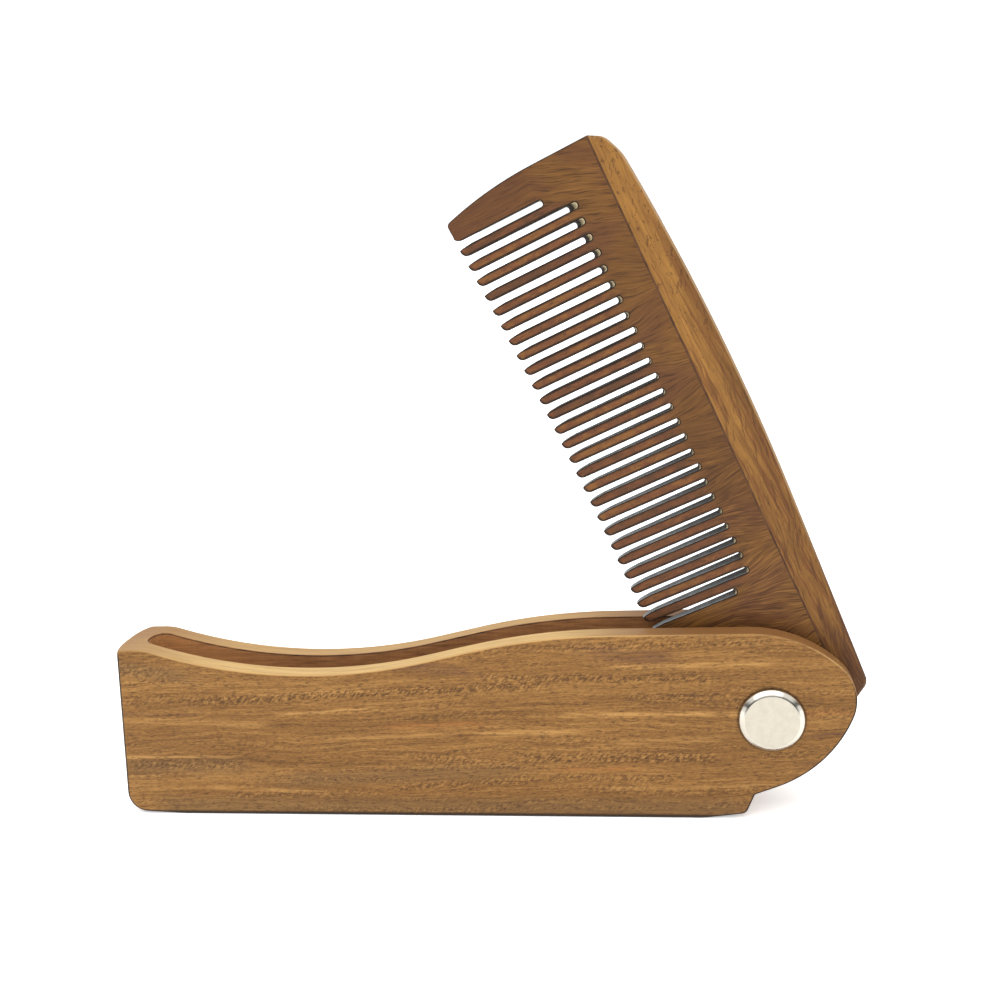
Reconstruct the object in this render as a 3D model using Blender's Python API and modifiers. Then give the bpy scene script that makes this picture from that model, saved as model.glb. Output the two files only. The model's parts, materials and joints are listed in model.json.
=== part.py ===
"""Folding comb: a wooden comb that turns on a metal rivet and folds into a slot in its wooden handle.

The handle stands on its flat bottom edge. X runs along the handle, Y across it and Z up. The origin is
the middle of the bottom of the whole comb's box. All lengths are in metres, all angles in degrees.

Outlines are polygons whose corners are rounded, so each corner is (x, z, rounding radius). The handle's
corners are measured from the rivet's axis. The comb's are drawn as it lies folded in the handle: along is
the distance from the rivet towards the comb's tip, up is the height over the rivet, and the teeth hang
down. A pivot empty on the rivet's axis then turns the comb open.
"""

import math

import bmesh
import bpy
from mathutils import Matrix, Vector

# Rivet axis and the angle that the comb stands open, counted from folded
PIVOT = Vector((0.04602, 0.0, 0.0164))
OPEN_ANGLE = 67.2
CLEARANCE = 0.0003

# Handle
HANDLE_THICKNESS = 0.0130
HANDLE_EDGE_ROUND = 0.0004
SLOT_WIDTH = 0.0056
SLOT_LEFT_END = -0.1010
SLOT_FLOOR = -0.0134
SLOT_END_ROUND = 0.00279
SLOT_RUN_OUT = 0.0300
SLOT_CUTTER_OVER_TOP = 0.0100
HANDLE_BOTTOM = -PIVOT.z
HANDLE_TOP = 0.0137
HANDLE_OUTLINE = (
    (-0.1040, 0.0122, 0.0008),
    (-0.0996, 0.0122, 0.0060),
    (-0.0760, 0.0048, 0.0880),
    (-0.0353, HANDLE_TOP, 0.1050),
    (0.0046, HANDLE_TOP, 0.0195),
    (0.0141, 0.0046, 0.0074),
    (0.0085, -0.0082, 0.0200),
    (-0.0027, -0.01245, 0.0003),
    (-0.0041, -0.0156, 0.0012),
    (-0.0105, HANDLE_BOTTOM, 0.0120),
    (-0.0960, HANDLE_BOTTOM, 0.0200),
    (-0.1055, -0.0159, 0.0032),
)
END_BULGE = 0.0013
END_BULGE_POWER = 3
END_BULGE_START = -0.0985
END_BULGE_FULL = -0.1035
END_SLICES = 8

# Comb, as it lies folded: a wedge, thick at the back and thin at the tooth tips
COMB_THICKNESS_AT_RIVET = 0.0029
COMB_WEDGE = 0.10
COMB_TOP = 0.0901
JOINT_UP = 0.01155
TOOTH_COUNT = 26
TOOTH_PITCH = 0.00251
TOOTH_GAP = 0.00108
FIRST_GAP_ALONG = 0.08515
TOOTH_TIP_DOWN = 0.0115
TOOTH_TIP_BOW = 0.00125
TOOTH_TIP_BOW_MIDDLE = 0.042
TOOTH_TIP = (
    (0.00, 0.00240, 0.0),
    (0.07, 0.00100, 0.0020),
    (0.28, 0.00000, 0.0002),
    (1.00, 0.00070, 0.0006),
)
GAP_ROOT_DOWN = -0.00615
FIRST_GAP_ROOT_DOWN = -0.0016
LAST_GAP_ROOT_DOWN = -0.0031
GAP_ROOT_ROUND = 0.00043
FIRST_ROOT_SLOPE = 0.0004
SECOND_ROOT_SLOPE = 0.0018
ROOT_SLOPE_STEP = 0.00015
LEAST_ROOT_SLOPE = 0.0005
COMB_EDGE_ROUND = 0.00015
GUARD_TOOTH = (
    (0.08515, -0.01265, 0.0015),
    (0.08803, -0.01273, 0.0007),
    (0.09006, -0.00500, 0.0570),
)
HEEL = (
    (0.01860, -0.01130, 0.0010),
    (-0.00930, -0.00960, 0.0092),
    (-0.00890, 0.00500, 0.0080),
)

# Strip along the comb's back
TAIL_CORNER = (-0.00196, 0.01526)
STRIP_BACK = (0.05610, 0.01786, 0.3850)
STRIP_TOP = (
    (0.08590, 0.01496, 0.0080),
    (0.08925, 0.01350, 0.0016),
)
STRIP_EDGE_ROUND = 0.0006

# Rivet
CAP_RADIUS = 0.0050
CAP_FLAT_RADIUS = 0.0042
CAP_HEIGHT = 0.0008
POST_RADIUS = 0.0025
BORE_RADIUS = POST_RADIUS + CLEARANCE

# Fineness of the curves, and the angles over which an edge is bevelled or shaded sharp
CHORD_ERROR = 0.00002
LARGEST_CHORD_SHARE = 0.08
ROUND_SIDES = 48
SLOT_END_STEPS = 8
CAP_EDGE_STEPS = 4
BEVELLED_ANGLE = 50
SHARP_ANGLE = 30
FLAT_ANGLE = 0.05
MERGE_DISTANCE = 0.000001


def clear_scene():
    """Remove the scene's objects."""
    for item in list(bpy.data.objects):
        bpy.data.objects.remove(item, do_unlink=True)


def make_collection(name):
    """Link a new collection to the scene."""
    collection = bpy.data.collections.new(name)
    bpy.context.scene.collection.children.link(collection)
    return collection


def make_material(name, color, roughness, metallic=0.0):
    """Make a material from one Principled shader."""
    material = bpy.data.materials.new(name)
    material.use_nodes = True
    shader = material.node_tree.nodes["Principled BSDF"]
    shader.inputs["Base Color"].default_value = (*color, 1.0)
    shader.inputs["Roughness"].default_value = roughness
    shader.inputs["Metallic"].default_value = metallic
    return material


def round_corners(corners):
    """Turn a closed polygon of (x, z, radius) corners into points, with an arc at each corner."""
    points = []
    count = len(corners)
    for index, (x, z, radius) in enumerate(corners):
        corner = Vector((x, z))
        before = (Vector(corners[index - 1][:2]) - corner).normalized()
        after = (Vector(corners[(index + 1) % count][:2]) - corner).normalized()
        if radius == 0.0:
            points.append(corner)
            continue
        half = before.angle(after) / 2
        centre = corner + (before + after).normalized() * radius / math.sin(half)
        start = corner + before * radius / math.tan(half) - centre
        end = corner + after * radius / math.tan(half) - centre
        turn = start.angle_signed(end)
        step = 2 * math.acos(1 - min(CHORD_ERROR / radius, LARGEST_CHORD_SHARE))
        steps = max(1, math.ceil(abs(turn) / step))
        for number in range(steps + 1):
            arm = start.copy()
            arm.rotate(Matrix.Rotation(-turn * number / steps, 2))
            points.append(centre + arm)
    return points


def circle(x, z, radius):
    """Points of a circle in the XZ plane."""
    angles = [2 * math.pi * number / ROUND_SIDES for number in range(ROUND_SIDES)]
    return [(x + radius * math.cos(angle), z + radius * math.sin(angle)) for angle in angles]


def tidy(shape):
    """Join a closed mesh's flat neighbouring faces and point all its faces outwards."""
    bmesh.ops.dissolve_limit(shape, angle_limit=math.radians(FLAT_ANGLE), verts=shape.verts,
                             edges=shape.edges)
    bmesh.ops.recalc_face_normals(shape, faces=shape.faces)
    if shape.calc_volume(signed=True) < 0:
        bmesh.ops.reverse_faces(shape, faces=shape.faces)


def plate(name, outlines, thickness, collection):
    """Make a flat plate in the XZ plane, centred on Y, from a filled 2D curve: an outline and its holes."""
    curve = bpy.data.curves.new(name, "CURVE")
    curve.dimensions = "2D"
    curve.fill_mode = "BOTH"
    curve.extrude = thickness / 2
    for outline in outlines:
        spline = curve.splines.new("POLY")
        spline.points.add(len(outline) - 1)
        for point, (x, z) in zip(spline.points, outline):
            point.co = (x, z, 0.0, 1.0)
        spline.use_cyclic_u = True
    guide = bpy.data.objects.new(name, curve)
    bpy.context.scene.collection.objects.link(guide)
    guide.rotation_euler.x = math.pi / 2
    bpy.context.view_layer.update()
    mesh = bpy.data.meshes.new_from_object(guide.evaluated_get(bpy.context.evaluated_depsgraph_get()))
    mesh.transform(guide.matrix_world)
    bpy.data.objects.remove(guide)
    shape = bmesh.new()
    shape.from_mesh(mesh)
    bmesh.ops.remove_doubles(shape, verts=shape.verts, dist=MERGE_DISTANCE)
    tidy(shape)
    shape.to_mesh(mesh)
    shape.free()
    result = bpy.data.objects.new(name, mesh)
    collection.objects.link(result)
    return result


def turned(name, profile, collection):
    """Turn a profile of (radius, height) points, listed from top to bottom, round the Z axis."""
    mesh = bpy.data.meshes.new(name)
    edges = [(index, index + 1) for index in range(len(profile) - 1)]
    mesh.from_pydata([(radius, 0.0, height) for radius, height in profile], edges, [])
    result = bpy.data.objects.new(name, mesh)
    collection.objects.link(result)
    screw = result.modifiers.new("Turn", "SCREW")
    screw.steps = ROUND_SIDES
    screw.render_steps = ROUND_SIDES
    screw.use_merge_vertices = True
    screw.merge_threshold = 0.00001
    return result


def as_cutter(item):
    """Keep a cutter out of the render and show it as wire."""
    item.hide_render = True
    item.display_type = "WIRE"
    return item


def cut(item, cutter):
    """Cut one object out of another."""
    boolean = item.modifiers.new("Cut " + cutter.name, "BOOLEAN")
    boolean.operation = "DIFFERENCE"
    boolean.solver = "EXACT"
    boolean.object = cutter


def soften_edges(item, width, segments, above=-math.inf):
    """Round an object's sharp edges, or only those that lie wholly above a height in its own frame."""
    mesh = item.data
    weights = mesh.attributes.new("bevel_weight_edge", "FLOAT", "EDGE")
    shape = bmesh.new()
    shape.from_mesh(mesh)
    for edge in shape.edges:
        is_sharp = edge.calc_face_angle(0.0) > math.radians(BEVELLED_ANGLE)
        is_above = min(vert.co.z for vert in edge.verts) > above
        weights.data[edge.index].value = 1.0 if is_sharp and is_above else 0.0
    shape.free()
    bevel = item.modifiers.new("Soft edges", "BEVEL")
    bevel.width = width
    bevel.segments = segments
    bevel.limit_method = "WEIGHT"
    bevel.use_clamp_overlap = False


def finish(item, material, parent=None):
    """Give an object its material, its shading and its parent."""
    item.data.materials.append(material)
    item.data.shade_smooth()
    item.data.set_sharp_from_angle(angle=math.radians(SHARP_ANGLE))
    item.parent = parent


def wedge(item):
    """Thin a comb plate from its back to its tooth tips, in proportion to its height."""
    for vertex in item.data.vertices:
        half = (COMB_THICKNESS_AT_RIVET + COMB_WEDGE * vertex.co.z) / 2
        vertex.co.y = math.copysign(half, vertex.co.y)


def gap_slope(number):
    """Length by which a gap between teeth is shorter at the back than at the front."""
    if number == 0:
        return FIRST_ROOT_SLOPE
    return max(LEAST_ROOT_SLOPE, SECOND_ROOT_SLOPE - (number - 1) * ROOT_SLOPE_STEP)


def slope_gap_roots(field):
    """Let the gaps between the teeth end sooner at the back than at the front, as the saw leaves them."""
    shape = bmesh.new()
    shape.from_mesh(field.data)
    back = [face for face in shape.faces if face.normal.y > 0.9]
    bmesh.ops.delete(shape, geom=back, context="FACES")
    for vert in shape.verts:
        number = math.floor((FIRST_GAP_ALONG + vert.co.x) / TOOTH_PITCH + 0.01)
        if vert.co.y > 0 and vert.co.z > 0 and 0 <= number <= TOOTH_COUNT:
            vert.co.z -= gap_slope(number)
    rim = [edge for edge in shape.edges if edge.is_boundary]
    bmesh.ops.triangle_fill(shape, edges=rim, use_beauty=True)
    tidy(shape)
    shape.to_mesh(field.data)
    shape.free()


def gap_root(number):
    """Depth under the rivet line at which a gap between teeth ends, negative for above it."""
    if number == 0:
        return FIRST_GAP_ROOT_DOWN
    if number == TOOTH_COUNT:
        return LAST_GAP_ROOT_DOWN
    return GAP_ROOT_DOWN


def tooth_tip(along):
    """Depth under the rivet line of a tooth's tip: the row of tips is slightly hollow."""
    return TOOTH_TIP_DOWN + TOOTH_TIP_BOW * ((along - TOOTH_TIP_BOW_MIDDLE) / TOOTH_TIP_BOW_MIDDLE) ** 2


def comb_field_corners():
    """Corners of the toothed plate, from the guard tooth down to the heel and back along the joint."""
    corners = [(COMB_TOP, JOINT_UP - CLEARANCE, 0.0)]
    corners += reversed(GUARD_TOOTH)
    for number in range(TOOTH_COUNT + 1):
        upper = FIRST_GAP_ALONG - number * TOOTH_PITCH
        lower = upper - TOOTH_GAP
        root = -gap_root(number)
        corners.append((upper, root, GAP_ROOT_ROUND))
        corners.append((lower, root, GAP_ROOT_ROUND))
        if number < TOOTH_COUNT:
            width = TOOTH_PITCH - TOOTH_GAP
            tip = -tooth_tip(lower - width / 2)
            for share, back, radius in TOOTH_TIP:
                corners.append((lower - share * width, tip + back, radius))
    corners += HEEL
    tail_along, tail_up = TAIL_CORNER
    heel_along, heel_up, _ = HEEL[-1]
    share = (JOINT_UP - CLEARANCE - heel_up) / (tail_up - heel_up)
    corners.append((heel_along + share * (tail_along - heel_along), JOINT_UP - CLEARANCE, 0.0))
    return corners


def strip_corners():
    """Corners of the strip along the comb's back."""
    tail_along, tail_up = TAIL_CORNER
    heel_along, heel_up, _ = HEEL[-1]
    share = (JOINT_UP - heel_up) / (tail_up - heel_up)
    return [
        (COMB_TOP, JOINT_UP, 0.0),
        (heel_along + share * (tail_along - heel_along), JOINT_UP, 0.0),
        (tail_along, tail_up, 0.0020),
        STRIP_BACK,
        *STRIP_TOP,
    ]


def in_comb_frame(corners):
    """Points of (along, up, radius) corners in the pivot empty's frame, where the comb lies along -X."""
    return [(-point.x, point.y) for point in round_corners(corners)]


def bulge_left_end(handle):
    """Slice the faces of the handle's left end across Y and swell them outwards, most in the middle."""
    start = PIVOT.x + END_BULGE_START
    shape = bmesh.new()
    shape.from_mesh(handle.data)
    for number in range(1, END_SLICES):
        faces = [face for face in shape.faces
                 if abs(face.normal.y) < 0.5 and face.calc_center_median().x < start]
        edges = {edge for face in faces for edge in face.edges}
        verts = {vert for face in faces for vert in face.verts}
        share = 2 * number / END_SLICES - 1
        height = HANDLE_THICKNESS / 2 * math.sin(share * math.pi / 2)
        bmesh.ops.bisect_plane(shape, geom=[*verts, *edges, *faces], dist=1e-7,
                               plane_co=(0.0, height, 0.0), plane_no=(0.0, 1.0, 0.0))
    for vert in shape.verts:
        reach = (vert.co.x - start) / (END_BULGE_FULL - END_BULGE_START)
        across = abs(2 * vert.co.y / HANDLE_THICKNESS)
        vert.co.x -= END_BULGE * max(0.0, min(1.0, reach)) * (1 - across ** END_BULGE_POWER)
    shape.to_mesh(handle.data)
    shape.free()


def build_handle(parts, cutters, wood):
    """The handle: a thick plate with softened edges, a slot from the top and the rivet's bores."""
    outline = [(PIVOT.x + point.x, PIVOT.z + point.y) for point in round_corners(HANDLE_OUTLINE)]
    handle = plate("handle", [outline, circle(PIVOT.x, PIVOT.z, BORE_RADIUS)], HANDLE_THICKNESS, parts)
    bulge_left_end(handle)
    soften_edges(handle, HANDLE_EDGE_ROUND, 2)

    height = HANDLE_TOP - SLOT_FLOOR + SLOT_CUTTER_OVER_TOP
    length = SLOT_RUN_OUT - SLOT_LEFT_END
    bpy.ops.mesh.primitive_cube_add(size=1.0)
    slot = bpy.context.object
    slot.name = "slot_cutter"
    for owner in list(slot.users_collection):
        owner.objects.unlink(slot)
    cutters.objects.link(slot)
    slot.data.transform(Matrix.Diagonal((length, SLOT_WIDTH, height, 1.0)))
    slot.location = PIVOT + Vector((SLOT_LEFT_END + length / 2, 0.0, SLOT_FLOOR + height / 2))
    shape = bmesh.new()
    shape.from_mesh(slot.data)
    left = [edge for edge in shape.edges if all(vert.co.x < 0 for vert in edge.verts)
            and abs(edge.verts[0].co.z - edge.verts[1].co.z) > height / 2]
    bmesh.ops.bevel(shape, geom=left, offset=SLOT_END_ROUND, segments=SLOT_END_STEPS,
                    affect="EDGES", profile=0.5)
    bmesh.ops.remove_doubles(shape, verts=shape.verts, dist=MERGE_DISTANCE)
    shape.to_mesh(slot.data)
    shape.free()
    cut(handle, as_cutter(slot))
    finish(handle, wood)
    return handle


def build_comb(parts, pivot, field_wood, strip_wood):
    """The comb's two wooden pieces, drawn folded under the pivot empty that turns them open."""
    thickness = COMB_THICKNESS_AT_RIVET
    outlines = [in_comb_frame(comb_field_corners()), circle(0.0, 0.0, BORE_RADIUS)]
    field = plate("comb_field", outlines, thickness, parts)
    slope_gap_roots(field)
    wedge(field)
    soften_edges(field, COMB_EDGE_ROUND, 1)
    finish(field, field_wood, pivot)

    strip = plate("spine_strip", [in_comb_frame(strip_corners())], thickness, parts)
    wedge(strip)
    soften_edges(strip, STRIP_EDGE_ROUND, 2, above=JOINT_UP + CLEARANCE)
    finish(strip, strip_wood, pivot)
    return field, strip


def cap_profile(underside):
    """Outer side of a rivet cap, from its middle to its rim, over an underside at the given height."""
    profile = [(0.0, underside + CAP_HEIGHT)]
    edge = CAP_RADIUS - CAP_FLAT_RADIUS
    for number in range(CAP_EDGE_STEPS + 1):
        angle = math.radians(90 * number / CAP_EDGE_STEPS)
        profile.append((CAP_FLAT_RADIUS + edge * math.sin(angle), underside + CAP_HEIGHT * math.cos(angle)))
    return profile


def build_rivet(parts, metal):
    """The rivet, a front cap and a post in one piece, and the cap that closes it at the back."""
    face = HANDLE_THICKNESS / 2 + CLEARANCE
    rivet_profile = cap_profile(face) + [(POST_RADIUS, face), (POST_RADIUS, -face + CLEARANCE),
                                         (0.0, -face + CLEARANCE)]
    rivet = turned("pivot_rivet", rivet_profile, parts)
    rivet.location = PIVOT
    rivet.rotation_euler.x = math.pi / 2
    finish(rivet, metal)

    back_cap = turned("rivet_back_cap", cap_profile(face) + [(0.0, face)], parts)
    back_cap.location = PIVOT
    back_cap.rotation_euler.x = -math.pi / 2
    finish(back_cap, metal)
    return rivet, back_cap


def main():
    """Build the folding comb as it stands open."""
    clear_scene()
    parts = make_collection("folding_comb")
    cutters = make_collection("cutters")
    handle_wood = make_material("handle_wood", (0.376, 0.196, 0.071), 0.55)
    field_wood = make_material("comb_field_wood", (0.235, 0.117, 0.050), 0.50)
    strip_wood = make_material("spine_strip_wood", (0.480, 0.255, 0.080), 0.50)
    nickel = make_material("rivet_nickel", (0.800, 0.760, 0.680), 0.30, 1.0)

    pivot = bpy.data.objects.new("comb_pivot", None)
    parts.objects.link(pivot)
    pivot.location = PIVOT
    pivot.rotation_euler.y = math.radians(OPEN_ANGLE)

    build_handle(parts, cutters, handle_wood)
    build_comb(parts, pivot, field_wood, strip_wood)
    build_rivet(parts, nickel)
    bpy.context.view_layer.update()


main()
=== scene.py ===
"""Dressed folding comb: a wooden comb that turns on a nickel rivet and folds into its wooden handle.

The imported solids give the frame. Each of them is replaced here by a finer mesh of the same size with its
own finish, and a thin line of glue is added between the comb's two woods. Sizes are in metres and angles
in degrees; finishes work in millimetres, measured from the rivet's axis. The comb is drawn as it lies
folded: along is the distance from the rivet towards the comb's tip, up is the height over the rivet, and
the teeth hang down. It is then turned open about the rivet.
"""

import json
import logging
import math
from collections.abc import Callable, Iterable, Iterator, Sequence
from contextlib import contextmanager
from dataclasses import dataclass
from enum import Enum
from functools import reduce

import bmesh
import bpy
from bmesh.types import BMEdge, BMesh
from bpy.types import ID, Material, Mesh, Node, NodeSocket, NodeTree, Object
from mathutils import Euler, Matrix, Vector


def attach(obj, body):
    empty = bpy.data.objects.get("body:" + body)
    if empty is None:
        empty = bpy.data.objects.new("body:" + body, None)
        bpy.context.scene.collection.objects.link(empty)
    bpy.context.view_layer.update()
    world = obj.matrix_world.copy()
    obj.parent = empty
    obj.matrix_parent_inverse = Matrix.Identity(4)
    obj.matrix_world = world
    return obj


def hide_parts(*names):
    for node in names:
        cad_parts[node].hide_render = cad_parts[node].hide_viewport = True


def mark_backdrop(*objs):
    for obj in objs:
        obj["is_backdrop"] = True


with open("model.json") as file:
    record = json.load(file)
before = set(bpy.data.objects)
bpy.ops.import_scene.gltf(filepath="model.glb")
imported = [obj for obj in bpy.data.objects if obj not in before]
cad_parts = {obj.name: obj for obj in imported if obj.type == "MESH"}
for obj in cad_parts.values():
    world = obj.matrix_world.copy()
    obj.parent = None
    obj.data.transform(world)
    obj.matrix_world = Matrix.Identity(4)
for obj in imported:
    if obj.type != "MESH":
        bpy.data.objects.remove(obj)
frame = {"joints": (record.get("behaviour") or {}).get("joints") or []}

LOG = logging.getLogger("folding_comb")
MM = 1000.0
Pair = tuple[float, float]
Corner = tuple[float, float, float]
Triple = tuple[float, float, float]
Rgb = tuple[int, int, int]
Number = "Value | float"
Colour = "Value | Rgb"
Inputs = dict[int | str, object]

# Fineness of the meshes: lengths in metres, angles in degrees
CHORD_ERROR = 0.000004
LARGEST_CHORD_SHARE = 0.03
MERGE_DISTANCE = 1e-6
TINY = 1e-7
CUT_DISTANCE = 1e-8
FLAT_ANGLE = 0.05
BENT_ANGLE = 50.0
SIDE_FACING = 0.9
RIM_FACING = 0.5
FLAT_FACE_WEIGHT = 90
BORE_SIDES = 64
CLEAR_OF_BORE = 0.004


class Facing(Enum):
    """Side of the handle that a rivet cap lies on, as the sign of its Y."""

    FRONT = -1
    BACK = 1


# Meshes


def round_corners(corners: Sequence[Corner]) -> list[Vector]:
    """Round the corners of a closed polygon with arcs.

    Args:
        corners: The polygon's corners, each as (x, z, rounding radius).

    Returns:
        The outline's points in order.
    """
    points = []
    for index, (x, z, radius) in enumerate(corners):
        corner = Vector((x, z))
        if radius == 0.0:
            points.append(corner)
            continue
        before = (Vector(corners[index - 1][:2]) - corner).normalized()
        after = (Vector(corners[(index + 1) % len(corners)][:2]) - corner).normalized()
        half = before.angle(after) / 2
        centre = corner + (before + after).normalized() * radius / math.sin(half)
        start = corner + before * radius / math.tan(half) - centre
        end = corner + after * radius / math.tan(half) - centre
        turn = start.angle_signed(end)
        step = 2 * math.acos(1 - min(CHORD_ERROR / radius, LARGEST_CHORD_SHARE))
        steps = max(1, math.ceil(abs(turn) / step))
        for number in range(steps + 1):
            arm = start.copy()
            arm.rotate(Matrix.Rotation(-turn * number / steps, 2))
            points.append(centre + arm)
    return points


def circle(radius: float, sides: int) -> list[Vector]:
    """Points of a circle round the origin of the XZ plane."""
    turns = [2 * math.pi * side / sides for side in range(sides)]
    return [Vector((radius * math.cos(turn), radius * math.sin(turn))) for turn in turns]


@contextmanager
def shaping(mesh: Mesh, closed: bool = False) -> Iterator[BMesh]:
    """Open a mesh for shaping, and write it back at the end.

    Args:
        mesh: The mesh.
        closed: Whether it is a closed shape, whose faces are pointed outwards.

    Yields:
        The mesh's shape.
    """
    shape = bmesh.new()
    shape.from_mesh(mesh)
    yield shape
    if closed:
        bmesh.ops.recalc_face_normals(shape, faces=shape.faces)
        if shape.calc_volume(signed=True) < 0:
            bmesh.ops.reverse_faces(shape, faces=shape.faces)
    shape.to_mesh(mesh)
    shape.free()


def link(name: str, content: ID) -> Object:
    """Put a mesh, curve, light or camera in the scene as an object of its own."""
    item = bpy.data.objects.new(name, content)
    bpy.context.scene.collection.objects.link(item)
    return item


def plate(name: str, outlines: Iterable[Sequence[Vector]], thickness: float) -> Object:
    """Fill an outline and its holes in the XZ plane and make a plate of them, centred on Y.

    Args:
        name: The new object's name.
        outlines: The outer outline and any holes.
        thickness: The plate's thickness along Y.

    Returns:
        The plate as a mesh object at the origin.
    """
    curve = bpy.data.curves.new(name, "CURVE")
    curve.dimensions = "2D"
    curve.fill_mode = "BOTH"
    curve.extrude = thickness / 2
    for outline in outlines:
        spline = curve.splines.new("POLY")
        spline.points.add(len(outline) - 1)
        for point, place in zip(spline.points, outline):
            point.co = (place.x, place.y, 0.0, 1.0)
        spline.use_cyclic_u = True
    guide = link(name + "_outline", curve)
    guide.rotation_euler.x = math.pi / 2
    bpy.context.view_layer.update()
    mesh = bpy.data.meshes.new_from_object(guide.evaluated_get(bpy.context.evaluated_depsgraph_get()))
    mesh.transform(guide.matrix_world)
    bpy.data.objects.remove(guide)
    with shaping(mesh, closed=True) as shape:
        bmesh.ops.remove_doubles(shape, verts=shape.verts, dist=MERGE_DISTANCE)
        bmesh.ops.dissolve_limit(shape, angle_limit=math.radians(FLAT_ANGLE), verts=shape.verts,
                                 edges=shape.edges)
    return link(name, mesh)


def prism(name: str, outline: Sequence[Vector], low: float, high: float) -> Object:
    """Make a straight prism along Y over an outline in the XZ plane.

    Args:
        name: The new object's name.
        outline: The outline's points.
        low: Lowest Y.
        high: Highest Y.

    Returns:
        The prism as a mesh object.
    """
    mesh = bpy.data.meshes.new(name)
    with shaping(mesh, closed=True) as shape:
        rings = [[shape.verts.new((place.x, y, place.y)) for place in outline] for y in (low, high)]
        for ring in rings:
            shape.faces.new(ring)
        for first, second in zip(*[zip(ring, ring[1:] + ring[:1]) for ring in rings]):
            shape.faces.new((*first, *reversed(second)))
    return link(name, mesh)


def bake_down(item: Object) -> None:
    """Turn an object's modifiers into plain mesh.

    Args:
        item: The object, which keeps its name and loses its modifiers.
    """
    bpy.context.view_layer.update()
    graph = bpy.context.evaluated_depsgraph_get()
    mesh = bpy.data.meshes.new_from_object(item.evaluated_get(graph), depsgraph=graph)
    item.modifiers.clear()
    item.data = mesh


def bends(edge: BMEdge, angle: float = BENT_ANGLE) -> bool:
    """Whether an edge bends by more than an angle."""
    return edge.calc_face_angle() > math.radians(angle)


def on_side(edge: BMEdge) -> bool:
    """Whether an edge borders a face that looks along Y."""
    return max(abs(face.normal.y) for face in edge.link_faces) > SIDE_FACING


def off_bore(edge: BMEdge) -> bool:
    """Whether an edge keeps clear of the bore round the Y axis."""
    return min(vert.co.xz.length for vert in edge.verts) > CLEAR_OF_BORE


def round_edges(item: Object, pick: Callable[[BMEdge], bool], width: float,
                segments: int, slot: int = -1) -> None:
    """Round the picked edges of an object's mesh.

    Args:
        item: The object.
        pick: Says whether an edge is rounded.
        width: Width of the rounding on each face.
        segments: Number of faces across it.
        slot: Material slot of the new faces, or -1 for their neighbours'.
    """
    with shaping(item.data) as shape:
        shape.normal_update()
        edges = [edge for edge in shape.edges if len(edge.link_faces) == 2 and pick(edge)]
        bmesh.ops.bevel(shape, geom=edges, offset=width, offset_type="OFFSET", segments=segments, profile=0.5,
                        affect="EDGES", clamp_overlap=False, loop_slide=True, material=slot)
        bmesh.ops.remove_doubles(shape, verts=shape.verts, dist=TINY)


def smooth_over(item: Object, sharp_angle: float = 35.0) -> None:
    """Shade an object smoothly, with its large flat faces kept flat.

    Args:
        item: The object.
        sharp_angle: Edges that bend more than this stay sharp.
    """
    item.data.shade_smooth()
    item.data.set_sharp_from_angle(angle=math.radians(sharp_angle))
    weighted = item.modifiers.new("Flat faces", "WEIGHTED_NORMAL")
    weighted.mode = "FACE_AREA"
    weighted.weight = FLAT_FACE_WEIGHT
    weighted.keep_sharp = True
    bake_down(item)


def report(item: Object) -> None:
    """Log a piece's faces, its volume and any edge that doesn't join two faces.

    Args:
        item: The piece.
    """
    shape = bmesh.new()
    shape.from_mesh(item.data)
    loose = sum(len(edge.link_faces) != 2 for edge in shape.edges)
    volume = shape.calc_volume(signed=True) * MM ** 3
    LOG.info("%s: %d faces, %.0f mm3, %d loose edges", item.name, len(shape.faces), volume, loose)
    shape.free()


# Node trees


def linear(colour: Rgb) -> tuple[float, float, float, float]:
    """Turn a colour given in display values from 0 to 255 into the linear values that nodes take."""
    parts = [value / 255 for value in colour]
    return (*[part / 12.92 if part <= 0.04045 else ((part + 0.055) / 1.055) ** 2.4 for part in parts], 1.0)


def joining(operation: str, swapped: bool = False) -> Callable[["Value", Number], "Value"]:
    """Make the method that stands for an arithmetic sign.

    Args:
        operation: The Math node's operation.
        swapped: Whether the other number comes first.

    Returns:
        The method.
    """
    def method(self: "Value", other: Number) -> "Value":
        """Work out a number from this one and another."""
        return self.sheet.math(operation, *((other, self) if swapped else (self, other)))

    return method


class Value:
    """A node's output. Where it is a number, it takes part in plain arithmetic."""

    __add__ = __radd__ = joining("ADD")
    __sub__, __rsub__ = joining("SUBTRACT"), joining("SUBTRACT", swapped=True)
    __mul__ = __rmul__ = joining("MULTIPLY")
    __truediv__ = joining("DIVIDE")

    def __init__(self, sheet: "Sheet", socket: NodeSocket) -> None:
        """Hold an output of one of a sheet's nodes."""
        self.sheet, self.socket = sheet, socket

    def __abs__(self) -> "Value":
        """The number without its sign."""
        return self.sheet.math("ABSOLUTE", self)

    def ease(self, low: Number, high: Number, to_low: Number = 0.0, to_high: Number = 1.0) -> "Value":
        """Run smoothly from one value to another as the number passes from low to high.

        Args:
            low: Where the change starts.
            high: Where it ends.
            to_low: Result up to low.
            to_high: Result from high on.

        Returns:
            The result.
        """
        inputs = {"Value": self, "From Min": low, "From Max": high, "To Min": to_low, "To Max": to_high}
        return self.sheet.add("ShaderNodeMapRange", inputs, interpolation_type="SMOOTHSTEP")


@dataclass(frozen=True)
class Grain:
    """A noise: how fast it changes along each axis per millimetre, its finer layers and their strength."""

    x: float
    y: float
    z: float
    layers: float = 2.0
    strength: float = 0.5


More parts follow.
